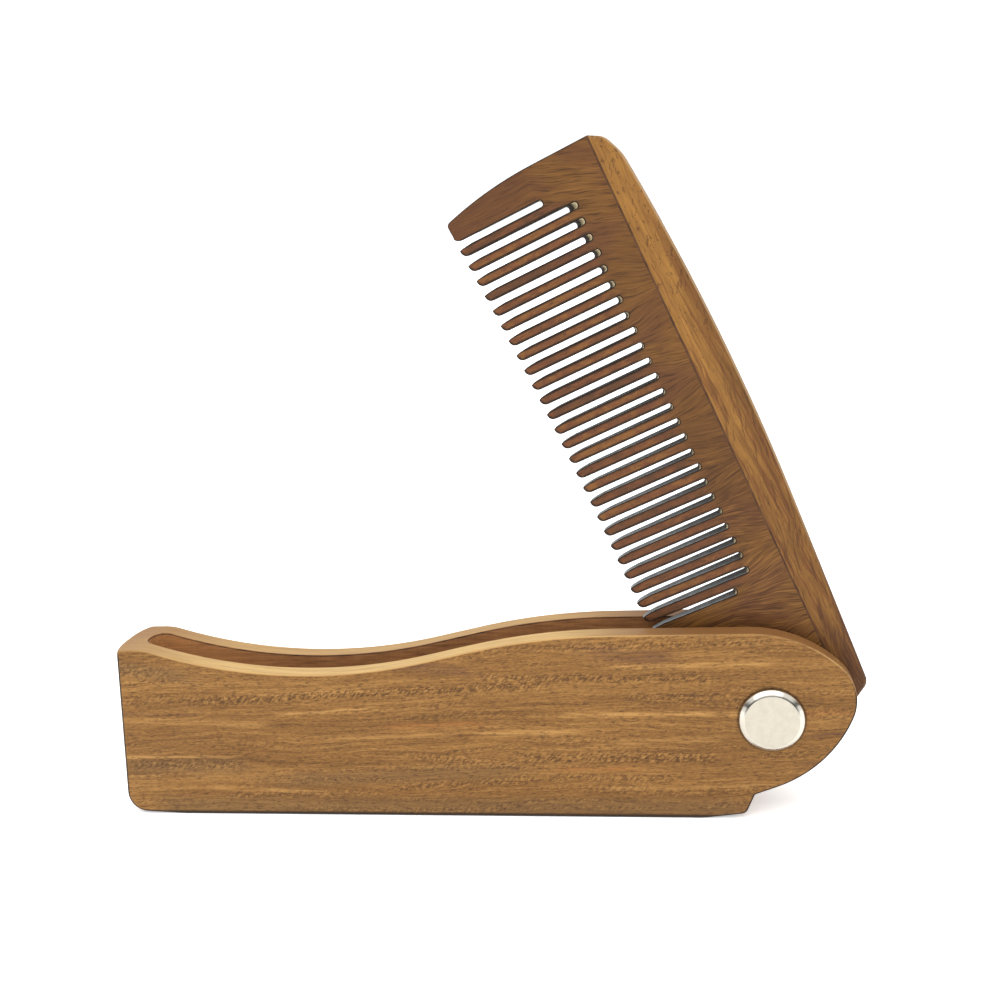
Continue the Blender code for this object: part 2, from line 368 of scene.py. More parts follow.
class Sheet:
    """A node tree under construction, with a short method for each kind of node that is used often."""

    def __init__(self, tree: NodeTree) -> None:
        """Work on a tree."""
        self.tree = tree

    def node(self, kind: str, inputs: Inputs | None = None, **settings: object) -> Node:
        """Add a node.

        Args:
            kind: The node's type name.
            inputs: Numbers, colours and other values for its inputs, by index or name.
            settings: Its properties.

        Returns:
            The node.
        """
        node = self.tree.nodes.new(kind)
        for name, setting in settings.items():
            setattr(node, name, setting)
        for key, value in (inputs or {}).items():
            self.feed(node.inputs[key], value)
        return node

    def add(self, kind: str, inputs: Inputs | None = None, output: int | str = 0,
            **settings: object) -> Value:
        """Add a node as node() does, and hand over one of its outputs, by index or name."""
        return Value(self, self.node(kind, inputs, **settings).outputs[output])

    def feed(self, target: NodeSocket, value: object) -> None:
        """Give an input another node's output to read, or a value to hold."""
        if isinstance(value, Value):
            self.tree.links.new(value.socket, target)
        else:
            target.default_value = value

    def math(self, operation: str, *numbers: Number, clamp: bool = False) -> Value:
        """Work out a number from others, and keep it from 0 to 1 if it is clamped."""
        return self.add("ShaderNodeMath", dict(enumerate(numbers)), operation=operation, use_clamp=clamp)

    def most(self, *numbers: Number) -> Value:
        """The largest of some numbers."""
        return reduce(lambda first, second: self.math("MAXIMUM", first, second), numbers)

    def vector(self, x: Number, y: Number, z: Number) -> Value:
        """Join three numbers into a vector."""
        return self.add("ShaderNodeCombineXYZ", {0: x, 1: y, 2: z})

    def parts(self, vector: Value) -> list[Value]:
        """Split a vector into its numbers."""
        return [Value(self, part) for part in self.node("ShaderNodeSeparateXYZ", {0: vector}).outputs]


class Group(Sheet):
    """A node group under construction, whose named inputs are in given."""

    def __init__(self, name: str, kind: str, inputs: dict[str, str], output: tuple[str, str]) -> None:
        """Start a group.

        Args:
            name: Its name.
            kind: Its kind of tree.
            inputs: The types of its inputs by their names.
            output: Its output's name and type.
        """
        super().__init__(bpy.data.node_groups.new(name, kind))
        sockets = [(*entry, "INPUT") for entry in inputs.items()] + [(*output, "OUTPUT")]
        for socket, form, way in sockets:
            self.tree.interface.new_socket(socket, in_out=way, socket_type="NodeSocket" + form)
        self.given = {socket.name: Value(self, socket) for socket in self.node("NodeGroupInput").outputs}

    def closed(self, result: Value) -> NodeTree:
        """Hand the result to the group's output, and the finished tree to the caller."""
        self.node("NodeGroupOutput", {0: result})
        return self.tree


class Finish(Sheet):
    """A procedural material in the making: place is where a point lies, colour what is laid on so far."""

    bump_strength = 0.6

    def __init__(self, name: str, origin: Vector = Vector(), turn: float = 0.0,
                 specular: float = 0.2) -> None:
        """Start a material on object coordinates in millimetres from a point, turned back about Y.

        Args:
            name: Its name.
            origin: The point, in the object's frame.
            turn: Angle that the piece was turned by about Y.
            specular: The shader's specular level.
        """
        self.material = bpy.data.materials.new(name)
        self.material.use_nodes = True
        super().__init__(self.material.node_tree)
        self.shader = self.tree.nodes["Principled BSDF"]
        self.shader.inputs["Specular IOR Level"].default_value = specular
        self.back = Euler((0.0, -math.radians(turn), 0.0))
        shift = origin.copy()
        shift.rotate(self.back)
        coordinates = self.add("ShaderNodeTexCoord", output="Object")
        self.place = self.turned_back(coordinates, {"Location": -shift * MM, "Scale": (MM, MM, MM)})
        self.colour: Value | None = None

    def turned_back(self, vector: Value, inputs: Inputs | None = None) -> Value:
        """Turn a vector back with the piece, and move and scale it as the inputs say."""
        inputs = {"Vector": vector, "Rotation": self.back, **(inputs or {})}
        return self.add("ShaderNodeMapping", inputs, vector_type="POINT")

    def facing(self) -> list[Value]:
        """The surface's direction, turned back with the piece, as three numbers."""
        return self.parts(self.turned_back(self.add("ShaderNodeTexCoord", output="Normal")))

    def noise(self, place: Value, grain: Grain) -> Value:
        """Noise from 0 to 1.

        Args:
            place: Place in millimetres.
            grain: The noise's rates and layers.

        Returns:
            The noise.
        """
        rates = {0: place, 1: (grain.x, grain.y, grain.z)}
        inputs = {"Vector": self.add("ShaderNodeVectorMath", rates, operation="MULTIPLY"), "Scale": 1.0,
                  "Detail": grain.layers, "Roughness": grain.strength}
        return self.add("ShaderNodeTexNoise", inputs)

    def total(self, start: Number, *parts: tuple[Value, float]) -> Value:
        """Add noises to a number.

        Args:
            start: The number to start from.
            parts: Noises, each with its weight; a noise of a half changes nothing.

        Returns:
            The sum.
        """
        return reduce(lambda sofar, part: self.math("MULTIPLY_ADD", part[0] - 0.5, part[1], sofar),
                      parts, start)

    def from_axis(self, x: Value, z: Value) -> Value:
        """Distance from the rivet's axis."""
        return self.add("ShaderNodeVectorMath", {0: self.vector(x, 0.0, z)}, "Value", operation="LENGTH")

    def ramp(self, number: Value, *stops: tuple[float, Rgb]) -> Value:
        """Colour by a number from 0 to 1.

        Args:
            number: The number.
            stops: Places on the ramp and their colours.

        Returns:
            The colour.
        """
        node = self.node("ShaderNodeValToRGB", {0: number})
        elements = node.color_ramp.elements
        while len(elements) < len(stops):
            elements.new(0.5)
        for element, (position, colour) in zip(elements, stops):
            element.position = position
            element.color = linear(colour)
        return Value(self, node.outputs[0])

    def mix(self, amount: Number, base: Colour, over: Colour) -> Value:
        """Lay one colour over another.

        Args:
            amount: How much of the upper one shows, from 0 to 1.
            base: The lower colour.
            over: The upper colour.

        Returns:
            The mixed colour.
        """
        lower, upper = (linear(colour) if isinstance(colour, tuple) else colour for colour in (base, over))
        inputs = {"Factor": amount, 6: lower, 7: upper}
        return self.add("ShaderNodeMix", inputs, 2, data_type="RGBA", clamp_factor=True)

    def lay(self, over: Colour, amount: Number) -> None:
        """Lay a colour over what is there."""
        self.colour = self.mix(amount, self.colour, over)

    def streaks(self, group: NodeTree, x: Value, z: Value, plan: Iterable["Streak"]) -> Value:
        """How much of any of the given streaks shows at a place.

        Args:
            group: The streak group.
            x: The place along the grain.
            z: The place across it.
            plan: The streaks.

        Returns:
            The largest amount.
        """
        shows = []
        for streak in plan:
            node = self.node("ShaderNodeGroup", node_tree=group)
            for key, value in {"X": x, "Z": z, **streak.inputs()}.items():
                self.feed(node.inputs[key], value)
            shows.append(Value(self, node.outputs[0]))
        return self.most(*shows)

    def surface(self, roughness: Number, height: Value | None = None, depth: float = 0.00002) -> Material:
        """Feed the shader and hand over the material.

        Args:
            roughness: Roughness.
            height: Height for the bump, from 0 to 1.
            depth: The bump's depth.

        Returns:
            The finished material.
        """
        self.feed(self.shader.inputs["Base Color"], self.colour)
        self.feed(self.shader.inputs["Roughness"], roughness)
        if height is not None:
            inputs = {"Height": height, "Strength": self.bump_strength, "Distance": depth}
            self.feed(self.shader.inputs["Normal"], self.add("ShaderNodeBump", inputs))
        return self.material


@dataclass(frozen=True)
class Streak:
    """A streak in the wood, in millimetres from the rivet: from one end to the other, with soft edges."""

    start: Pair
    end: Pair
    half_width: float
    strength: float
    fade: float = 4.0

    def inputs(self) -> dict[str, float]:
        """The streak's sizes by the names of the streak group's inputs."""
        return {"Start X": self.start[0], "Start Z": self.start[1], "End X": self.end[0],
                "End Z": self.end[1], "Half width": self.half_width, "Strength": self.strength,
                "Fade": self.fade}


def streak_group() -> NodeTree:
    """Node group that says how much of a streak shows at a place.

    Returns:
        The group, with the place and the streak's sizes as inputs.
    """
    names = ("X", "Z", "Start X", "Start Z", "End X", "End Z", "Half width", "Strength", "Fade")
    sheet = Group("streak", "ShaderNodeTree", dict.fromkeys(names, "Float"), ("Amount", "Float"))
    x, z, start_x, start_z, end_x, end_z, half_width, strength, fade = (sheet.given[name] for name in names)
    share = sheet.math("DIVIDE", x - start_x, end_x - start_x, clamp=True)
    off = abs(z - (share * (end_z - start_z) + start_z))
    across = (off / half_width).ease(0.3, 1.7, 1.0, 0.0)
    beyond = sheet.most(start_x - x, x - end_x)
    return sheet.closed(across * (beyond / fade).ease(-0.5, 0.5, 1.0, 0.0) * strength)


# Finishes


@dataclass(frozen=True)
class HandleWood:
    """Golden brown wood of the handle: long level grain, light streaks and rows of slanting flecks."""

    dark: Rgb = (90, 60, 27)
    middle: Rgb = (128, 89, 44)
    light: Rgb = (162, 120, 65)
    gold: Rgb = (176, 132, 74)
    orange: Rgb = (156, 100, 50)
    plum: Rgb = (96, 64, 46)
    grey: Rgb = (102, 78, 50)
    pore: Rgb = (62, 40, 24)
    # Top faces: paler sanded wood with painted top light; gold in front, duller behind, brown at the right.
    lit_rim_gold: Rgb = (203, 168, 107)
    lit_rim_dull: Rgb = (180, 144, 91)
    rim_brown: Rgb = (134, 94, 56)
    # Painted highlight of the upper rounded edges.
    edge_highlight: Rgb = (196, 156, 100)
    # Painted shade of the lower and side edges, and of the contact shadows.
    edge_shade_colour: Rgb = (24, 17, 13)
    roughness: float = 0.52
    warp: Grain = Grain(0.22, 0.2, 0.45)
    sway: Grain = Grain(0.035, 0.05, 0.10, 1.0)
    broad: Grain = Grain(0.014, 0.06, 0.40)
    medium: Grain = Grain(0.05, 0.3, 1.7, 3.0, 0.6)
    fine: Grain = Grain(0.20, 1.5, 5.0, 3.0, 0.65)
    speckle: Grain = Grain(1.3, 2.0, 4.6, 3.0, 0.7)
    breaks: Grain = Grain(0.16, 0.0, 2.6)
    patches: Grain = Grain(0.03, 0.2, 0.75, 1.0)
    strokes: Grain = Grain(1.9, 0.6, 1.7, 2.0, 0.6)
    pores: Grain = Grain(0.9, 1.5, 4.0, 2.0, 0.6)
    end_grain: Grain = Grain(0.12, 2.2, 0.2, 3.0, 0.6)
    light_streaks: tuple[Streak, ...] = (
        Streak((-24.0, 8.7), (0.0, 9.0), 0.35, 0.75),
        Streak((-31.0, 1.0), (-4.0, 0.9), 0.40, 0.95),
        Streak((-46.0, -2.4), (-29.0, -1.8), 0.45, 0.80),
        Streak((-106.0, -6.3), (-86.0, -6.2), 0.22, 0.90),
        Streak((-91.0, -11.6), (-71.0, -12.4), 0.35, 0.60),
        Streak((-77.0, 1.0), (-62.0, 2.3), 0.22, 0.90),
        Streak((-108.0, 0.4), (-80.0, -0.8), 0.45, 0.50),
        Streak((-70.0, -3.2), (-50.0, -2.4), 0.35, 0.60),
        Streak((-26.0, -11.5), (4.0, -10.8), 0.35, 0.50),
        Streak((-24.0, -3.6), (-8.0, -3.2), 0.45, 0.50),
    )
    orange_streaks: tuple[Streak, ...] = (
        Streak((-33.0, -8.2), (-21.0, -8.1), 0.30, 0.70),
        Streak((-60.0, -1.0), (-44.0, -0.6), 0.50, 0.45),
        Streak((-4.0, 0.4), (12.0, 1.2), 0.60, 0.35),
    )
    dark_streaks: tuple[Streak, ...] = (
        Streak((-29.0, 11.4), (-15.0, 9.8), 1.10, 0.65, 6.0),
        Streak((-60.0, 9.6), (-46.0, 8.0), 0.80, 0.60, 6.0),
        Streak((6.0, -2.7), (16.0, -1.8), 0.30, 0.80),
        Streak((-106.0, 1.4), (-92.0, 1.2), 0.25, 0.50),
        Streak((4.0, -7.6), (12.0, -6.2), 0.50, 0.45),
    )
    grey_streaks: tuple[Streak, ...] = (
        Streak((-106.0, -8.0), (-84.0, -7.8), 1.40, 0.35, 8.0),
        Streak((-80.0, -10.4), (-40.0, -8.6), 1.20, 0.40, 12.0),
        Streak((-106.0, 9.6), (-92.0, 7.6), 1.20, 0.40, 6.0),
        Streak((-100.0, -15.0), (-4.0, -14.8), 1.60, 0.50, 6.0),
    )
    fleck_rows: tuple[Streak, ...] = (
        Streak((-93.0, 3.3), (-34.0, 5.9), 0.75, 1.00),
        Streak((-45.0, 7.1), (-8.0, 6.6), 0.70, 0.90),
        Streak((-22.0, 3.8), (-1.0, 3.5), 0.75, 0.75),
        Streak((-40.0, -6.3), (-9.0, -6.3), 0.85, 1.00),
        Streak((-42.0, -9.7), (-15.0, -9.6), 0.55, 0.85),
        Streak((-57.0, -6.0), (-38.0, -7.7), 0.75, 0.80),
        Streak((-60.0, -11.5), (-38.0, -10.0), 0.55, 0.75),
        Streak((-88.0, -12.9), (-62.0, -12.4), 0.60, 0.70),
        Streak((-106.0, 9.4), (-96.0, 8.0), 1.20, 0.70),
        Streak((-32.0, 12.0), (0.0, 12.4), 0.60, 0.85),
        Streak((-104.0, -7.4), (-84.0, -7.8), 0.90, 0.75),
    )

    def make(self, hinge: "Hinge", group: NodeTree) -> Material:
        """Build the material.

        Args:
            hinge: The rivet's place.
            group: The streak group.

        Returns:
            The material.
        """
        wood = Finish("handle_wood", hinge.place)
        x, y, z = wood.parts(wood.place)
        warped = wood.total(z, (wood.noise(wood.place, self.warp), 0.55))
        level = wood.total(x * -0.02 + warped, (wood.noise(wood.place, self.sway), 4.0))
        flow = wood.vector(x, y, level)
        medium, fine = wood.noise(flow, self.medium), wood.noise(flow, self.fine)
        tone = wood.total(0.5, (wood.noise(flow, self.broad), 0.5), (medium, 0.7), (fine, 0.8),
                          (wood.noise(flow, self.speckle), 0.9))
        wood.colour = wood.ramp(tone, (0.15, self.dark), (0.50, self.middle), (0.85, self.light))

        uneven = wood.noise(wood.place, self.breaks).ease(0.30, 0.62)
        layers = ((self.light_streaks, self.gold, uneven), (self.orange_streaks, self.orange, uneven),
                  (self.dark_streaks, self.plum, uneven), (self.grey_streaks, self.grey, 1.0))
        for plan, tint, share in layers:
            wood.lay(tint, wood.streaks(group, x, warped, plan) * share)

        scattered = wood.noise(flow, self.patches).ease(0.53, 0.64, 0.0, 0.55)
        rows = wood.most(wood.streaks(group, x, warped, self.fleck_rows), scattered)
        strokes = wood.noise(wood.vector(z * -0.8 + x, y, z), self.strokes)
        flecks = strokes.ease(0.52, 0.59) * rows
        pores = wood.noise(flow, self.pores).ease(0.56, 0.66)
        wood.lay(self.gold, strokes.ease(0.45, 0.38) * rows * 0.50)
        wood.lay(self.pore, flecks * 0.66)
        wood.lay(self.pore, pores * 0.50)
        self.shade_edges(wood, x, y, z)
        return wood.surface(wood.total(self.roughness, (medium, 0.18)), fine - wood.most(pores, flecks))

    def shade_edges(self, wood: Finish, x: Value, y: Value, z: Value) -> None:
        """Lay on pale top faces with painted top light, painted edge light and shade, and shadow round the
        rivet.

        Args:
            wood: The material.
            x: Distance to the right of the rivet.
            y: Distance behind the handle's middle.
            z: Height over the rivet.
        """
        to_right, to_back, to_top = wood.facing()
        # Pale top faces: partly paler wood, partly painted light falling from above.
        rim = wood.mix(y.ease(-1.0, 1.0), self.lit_rim_gold, self.lit_rim_dull)
        pale = x.ease(-106.0, -84.0, 0.30, 1.0) * x.ease(-14.0, -36.0)
        rim = wood.mix(pale, self.rim_brown, rim)
        rim = wood.mix(wood.noise(wood.place, self.end_grain).ease(0.35, 0.75, 0.0, 0.45), rim, self.middle)
        wood.lay(rim, to_top.ease(0.65, 0.96) * 0.92)

        across = abs(to_back)
        on_edge = across.ease(0.10, 0.40) * across.ease(0.99, 0.90)
        # Painted highlight along the upper rounded edges.
        highlit_upper_edges = wood.most(x.ease(-8.0, -26.0, 0.20, 0.70), x.ease(2.0, 9.0, 0.0, 0.60))
        highlit_upper_edges = on_edge * highlit_upper_edges * to_top.ease(0.30, 0.70) * x.ease(-104.0, -90.0, 0.2, 1.0)
        wood.lay(self.edge_highlight, highlit_upper_edges)
        # Painted shade along edges facing down or sideways, and a painted contact shadow along the bottom.
        beside = abs(to_right).ease(0.15, 0.45) * to_top.ease(0.25, 0.0) * y.ease(2.0, -2.0, 0.3, 1.0)
        below = wood.most(to_top.ease(0.0, -0.12), beside)
        outline = across.ease(0.42, 0.66) * across.ease(0.995, 0.96) * below
        wood.lay(self.edge_shade_colour, wood.most(outline, z.ease(-15.55, -15.95, 0.0, 0.9)) * 0.95)
        # Painted contact shadow round the rivet cap.
        rivet_contact_shadow = wood.from_axis(x, z).ease(5.35, 5.05) * across.ease(0.9, 0.99)
        wood.lay(self.edge_shade_colour, rivet_contact_shadow * 0.60)


@dataclass(frozen=True)
class SlotWood:
    """Darker rough wood in the handle's slot, with cutter marks along it, painted light and painted shade."""

    dark: Rgb = (104, 66, 40)
    light: Rgb = (184, 130, 80)
    # Painted shade of the slot's rounded upper edge.
    lip: Rgb = (30, 19, 13)
    roughness: float = 0.72
    grain: Grain = Grain(0.2, 1.5, 2.4, 3.0, 0.65)
    marks: Grain = Grain(2.6, 0.0, 0.3, 1.0)

    def make(self, hinge: "Hinge") -> Material:
        """Build the material.

        Args:
            hinge: The rivet's place.

        Returns:
            The material.
        """
        wood = Finish("slot_wood", hinge.place)
        x, _, z = wood.parts(wood.place)
        grain, marks = wood.noise(wood.place, self.grain), wood.noise(wood.place, self.marks)
        # Painted light: lighter towards the slot's left end and towards its mouth, where light falls in.
        left, mouth = x.ease(-70.0, -98.0, 0.0, 0.30), z.ease(-2.0, 6.0, 0.0, 0.12)
        tone = wood.total(left + mouth + 0.32, (grain, 1.1), (marks, 0.15))
        wood.colour = wood.ramp(tone, (0.1, self.dark), (0.9, self.light))
        to_top = wood.facing()[2]
        # Painted shade on the rounded edge at the slot's mouth.
        lip = to_top.ease(0.05, 0.30) * to_top.ease(0.97, 0.80)
        wood.lay(self.lip, lip * grain.ease(0.25, 0.65, 1.0, 0.7))
        return wood.surface(self.roughness, tone, 0.00003)


@dataclass(frozen=True)
class CombWood:
    """Reddish brown wood of the toothed plate, with fans of dark grain lines and teeth of mixed browns."""

    dark: Rgb = (75, 46, 20)
    middle: Rgb = (101, 66, 29)
    light: Rgb = (127, 87, 41)
    line: Rgb = (44, 25, 11)
    glow: Rgb = (150, 104, 50)
    plum: Rgb = (84, 50, 32)
    tooth_red: Rgb = (103, 62, 37)
    tooth_tan: Rgb = (122, 81, 41)
    tooth_dark: Rgb = (81, 53, 34)
    # Painted shade of the teeth's sides and ends.
    tooth_edge_shade: Rgb = (22, 14, 9)
    roughness: float = 0.46
    warp: Grain = Grain(0.12, 0.1, 0.16)
    broad: Grain = Grain(0.15, 0.1, 0.05)
    medium: Grain = Grain(0.9, 0.4, 0.08, 3.0, 0.55)
    fine: Grain = Grain(4.6, 1.5, 0.24, 2.0, 0.6)
    thread: Grain = Grain(4.0, 0.5, 0.22, 2.0, 0.6)
    patches: Grain = Grain(0.12, 1.0, 0.10, 1.0)
    blotch: Grain = Grain(1.1, 3.7, 0.55, 3.0, 0.65)
    hair: Grain = Grain(4.0, 1.3, 0.7, 2.0, 0.6)
    point_off: float = -0.134

    def make(self, hinge: "Hinge", comb: "Comb") -> Material:
        """Build the material.

        Args:
            hinge: The rivet's place and the comb's angle.
            comb: The comb, for the places of its teeth.

        Returns:
            The material.
        """
        wood = Finish("comb_field_wood", hinge.place, hinge.open_angle)
        x, y, up = wood.parts(wood.place)
        along = x * -1.0
        fan = wood.math("SINE", along * 0.45 + 1.2)
        lean = fan * along.ease(60.0, 74.0, 0.30, 0.0) + along.ease(58.0, 76.0, 0.02, 0.40)
        reach = wood.add("ShaderNodeClamp", {0: up - 9.0, 1: -8.0, 2: 4.0})
        level = wood.total(reach * lean + along, (wood.noise(wood.place, self.warp), 1.2))
        flow = wood.vector(level, y, up)
        broad, medium, fine, thread = (wood.noise(flow, grain)
                                       for grain in (self.broad, self.medium, self.fine, self.thread))
        deep = along.ease(22.0, 30.0) * along.ease(52.0, 42.0)
        tone = wood.total(deep * -0.13 + 0.5, (broad, 0.3), (medium, 0.42), (fine, 0.8))
        wood.colour = wood.ramp(tone, (0.15, self.dark), (0.50, self.middle), (0.85, self.light))
        patches = wood.noise(wood.vector(level, 3.0, up), self.patches)
        wood.lay(self.plum, patches.ease(0.48, 0.66, 0.0, 0.50))
        lines = thread.ease(0.56, 0.64)
        wood.lay(self.line, lines * 0.60)
        wood.lay(self.glow, thread.ease(0.46, 0.36) * along.ease(50.0, 24.0, 0.08, 0.38))
        edge = comb.first_gap * MM
        wood.lay(self.plum, along.ease(edge - 0.6, edge + 0.6) * up.ease(5.0, -5.0, 0.0, 0.55))
        self.tint_teeth(wood, comb, along, up)
        return wood.surface(wood.total(self.roughness, (medium, 0.16)), fine - lines)

    def tint_teeth(self, wood: Finish, comb: "Comb", along: Value, up: Value) -> None:
        """Give each tooth a brown of its own, with painted shade along its sides and round its slanted end.

        A tooth's point lies off its middle line by the share point_off of the pitch.

        Args:
            wood: The material.
            comb: The comb, for the places of its teeth.
            along: Distance from the rivet towards the comb's tip.
            up: Height over the rivet.
        """
        pitch, first_gap, root = comb.pitch * MM, comb.first_gap * MM, comb.root * MM
        count = (first_gap - along) / pitch
        number = wood.math("FLOOR", count + 0.8)
        drawn = wood.add("ShaderNodeTexWhiteNoise", {"W": number}, "Value", noise_dimensions="1D")
        place = wood.vector(along, number, up)
        hair = wood.noise(place, self.hair)
        shade = wood.total(0.5, (drawn, 0.35), (wood.noise(place, self.blotch), 1.3))
        tooth = wood.ramp(shade, (0.22, self.tooth_dark), (0.50, self.tooth_red), (0.78, self.tooth_tan))
        tooth = wood.mix(hair.ease(0.55, 0.70, 0.0, 0.55), tooth, self.line)

        off = wood.math("FRACT", count - comb.gap / comb.pitch / 2) - 0.5
        bowed = (along - comb.tip_bow_middle * MM) / (comb.tip_bow_middle * MM)
        over_tip = bowed * bowed * (comb.tip_bow * MM) + up - comb.tip * MM
        # Painted shade along each tooth's rounded sides and round its slanted end.
        upper = off.ease(-0.14, -0.21) * along.ease(40.0, 58.0, 0.35, 1.0)
        calmer = hair.ease(0.30, 0.65, 1.0, 0.85)
        side = wood.most(off.ease(0.12, 0.19), upper) * over_tip.ease(0.0, 1.2) * calmer
        from_point = off - self.point_off
        end = over_tip - wood.most(from_point * 1.6, from_point * -7.8)
        tooth = wood.mix(wood.most(side, end.ease(0.38, 0.14, 0.0, 0.85)), tooth, self.tooth_edge_shade)

        short = along.ease(first_gap - pitch - 0.3, first_gap - 0.3, 0.0, 4.5)
        is_tooth = (up + short).ease(root + 1.2, root - 3.4, 0.0, 0.9)
        between_guards = along.ease(first_gap + 0.3, first_gap - 0.1) * along.ease(19.0, 20.5)
        wood.lay(tooth, is_tooth * between_guards)


@dataclass(frozen=True)
class StripWood:
    """Golden wood of the strip along the comb's back, with its grain along it and a browner outer half."""

    gold: Rgb = (152, 108, 50)
    middle: Rgb = (118, 80, 36)
    brown: Rgb = (86, 56, 24)
    plum: Rgb = (74, 46, 32)
    line: Rgb = (66, 38, 20)
    red: Rgb = (112, 62, 34)
    # Painted highlight of the rounded outer edge.
    edge: Rgb = (176, 148, 112)
    roughness: float = 0.46
    warp: Grain = Grain(0.10, 0.15, 0.35)
    medium: Grain = Grain(0.06, 0.4, 0.95, 3.0, 0.6)
    fine: Grain = Grain(0.26, 1.5, 4.2, 3.0, 0.65)
    thread: Grain = Grain(0.07, 0.5, 1.9, 2.0, 0.55)
    strokes: Grain = Grain(0.22, 0.8, 2.8, 2.0, 0.6)
    curl: Grain = Grain(0.7, 0.5, 0.7)
    pores: Grain = Grain(0.9, 1.5, 2.6, 2.0, 0.6)

    def make(self, hinge: "Hinge", comb: "Comb") -> Material:
        """Build the material.

        Args:
            hinge: The rivet's place and the comb's angle.
            comb: The comb, for the height of its joint.

        Returns:
            The material.
        """
        wood = Finish("spine_strip_wood", hinge.place, hinge.open_angle)
        x, y, up = wood.parts(wood.place)
        along, joint = x * -1.0, comb.joint * MM
        level = wood.total(along * 0.035 + up, (wood.noise(wood.place, self.warp), 1.6))
        flow = wood.vector(along, y, level)
        fine, thread = wood.noise(flow, self.fine), wood.noise(flow, self.thread)
        parting = along.ease(20.0, 84.0, joint + 2.6, joint + 3.4)
        outer = ((up - parting).ease(-0.6, 0.8) * along.ease(86.0, 60.0, 0.05, 0.26)
                 * along.ease(22.0, 50.0, 0.15, 1.0))
        low = along.ease(62.0, 8.0, 0.0, 0.20)
        tone = wood.total(0.60 - outer - low, (wood.noise(flow, self.medium), 0.75), (fine, 0.7))
        wood.colour = wood.ramp(tone, (0.10, self.brown), (0.42, self.middle), (0.80, self.gold))

        lines, streaked = thread.ease(0.55, 0.63), along.ease(82.0, 56.0, 0.12, 0.36)
        wood.lay(self.red, thread.ease(0.52, 0.58) * streaked)
        wood.lay(self.line, lines * streaked)
        strokes = wood.noise(wood.vector(along, y, along * -0.22 + level), self.strokes)
        wood.lay(self.line, strokes.ease(0.54, 0.62) * along.ease(60.0, 40.0, 0.0, 0.50))
        curl = wood.noise(wood.place, self.curl)
        curled = wood.vector(wood.total(along, (curl, 3.0)), y, wood.total(up, (curl, 2.0)))
        pores = wood.noise(curled, self.pores).ease(0.58, 0.66)
        wood.lay(self.line, pores * along.ease(48.0, 72.0, 0.25, 0.60))
        wood.lay(self.plum, along.ease(14.0, 0.0) * fine.ease(0.40, 0.60, 0.8, 0.35))
        # Painted highlight on the rounded outer edge, darker near the rivet.
        to_back = wood.facing()[2]
        strip_rim_highlight = to_back.ease(0.30, 0.70) * to_back.ease(0.995, 0.95, 0.2, 1.0)
        wood.lay(wood.mix(along.ease(10.0, 34.0), self.line, self.edge), strip_rim_highlight * 0.60)
        return wood.surface(self.roughness, fine - wood.most(pores, lines))


@dataclass(frozen=True)
class SawnWood:
    """Rough sawn wood between the teeth, painted shade deeper in the cut, darker at its end and towards the
    tip.
    """

    name: str
    dark: Rgb
    light: Rgb
    # Painted shade deeper in the cut, laid on from back_from behind the middle.
    back: Rgb
    tip_dark: float = 0.0
    back_from: float = 0.3
    root_dark: float = 0.0
    roughness: float = 0.8
    marks: Grain = Grain(1.4, 2.5, 0.7, 3.0, 0.6)

    def make(self, hinge: "Hinge") -> Material:
        """Build the material.

        Args:
            hinge: The rivet's place and the comb's angle.

        Returns:
            The material.
        """
        wood = Finish(self.name, hinge.place, hinge.open_angle)
        marks = wood.noise(wood.place, self.marks)
        wood.colour = wood.ramp(marks, (0.3, self.dark), (0.7, self.light))
        x, y, up = wood.parts(wood.place)
        # Darker towards the root and the tip; darker behind as painted shade deeper in the cut.
        for amount in (up.ease(-4.0, 6.0, 0.0, self.root_dark), y.ease(self.back_from, self.back_from + 1.0),
                       x.ease(-38.0, -64.0, 0.0, self.tip_dark)):
            wood.lay(self.back, amount)
        return wood.surface(self.roughness, marks, 0.00003)


@dataclass(frozen=True)
class Nickel:
    """Warm white nickel plate: a dull cream flat with faint mottling inside a polished ring."""

    flat: Rgb = (192, 186, 171)
    stain: Rgb = (184, 177, 163)
    ring: Rgb = (204, 200, 188)
    # Painted shade in the groove between flat and ring.
    upper_groove_shade: Rgb = (92, 90, 88)
    flat_radius: float = 4.12
    flat_roughness: float = 0.36
    ring_roughness: float = 0.14
    mottle: Grain = Grain(0.9, 0.9, 0.9, 4.0, 0.65)
    hair: Grain = Grain(0.6, 2.0, 14.0)

    def make(self, hinge: "Hinge") -> Material:
        """Build the material.

        Args:
            hinge: The rivet's place.

        Returns:
            The material.
        """
        metal = Finish("rivet_nickel", hinge.place, specular=0.5)
        x, _, z = metal.parts(metal.place)
        mottle, hair = metal.noise(metal.place, self.mottle), metal.noise(metal.place, self.hair)
        metal.colour = metal.ramp(mottle, (0.35, self.stain), (0.60, self.flat))
        radius, flat = metal.from_axis(x, z), self.flat_radius
        ring = radius.ease(flat - 0.05, flat + 0.05)
        metal.lay(self.ring, ring)
        # Painted shade in the groove between flat and ring, over its upper half.
        upper_groove_shade = radius.ease(flat - 0.06, flat + 0.04) * radius.ease(flat + 0.34, flat + 0.12)
        metal.lay(self.upper_groove_shade, upper_groove_shade * z.ease(0.4, 2.4, 0.0, 0.85))
        metal.shader.inputs["Metallic"].default_value = 1.0
        smooth = ring.ease(0.0, 1.0, self.flat_roughness, self.ring_roughness)
        return metal.surface(metal.total(smooth, (mottle, 0.15)), metal.total(mottle, (hair, 0.3)), 0.000006)


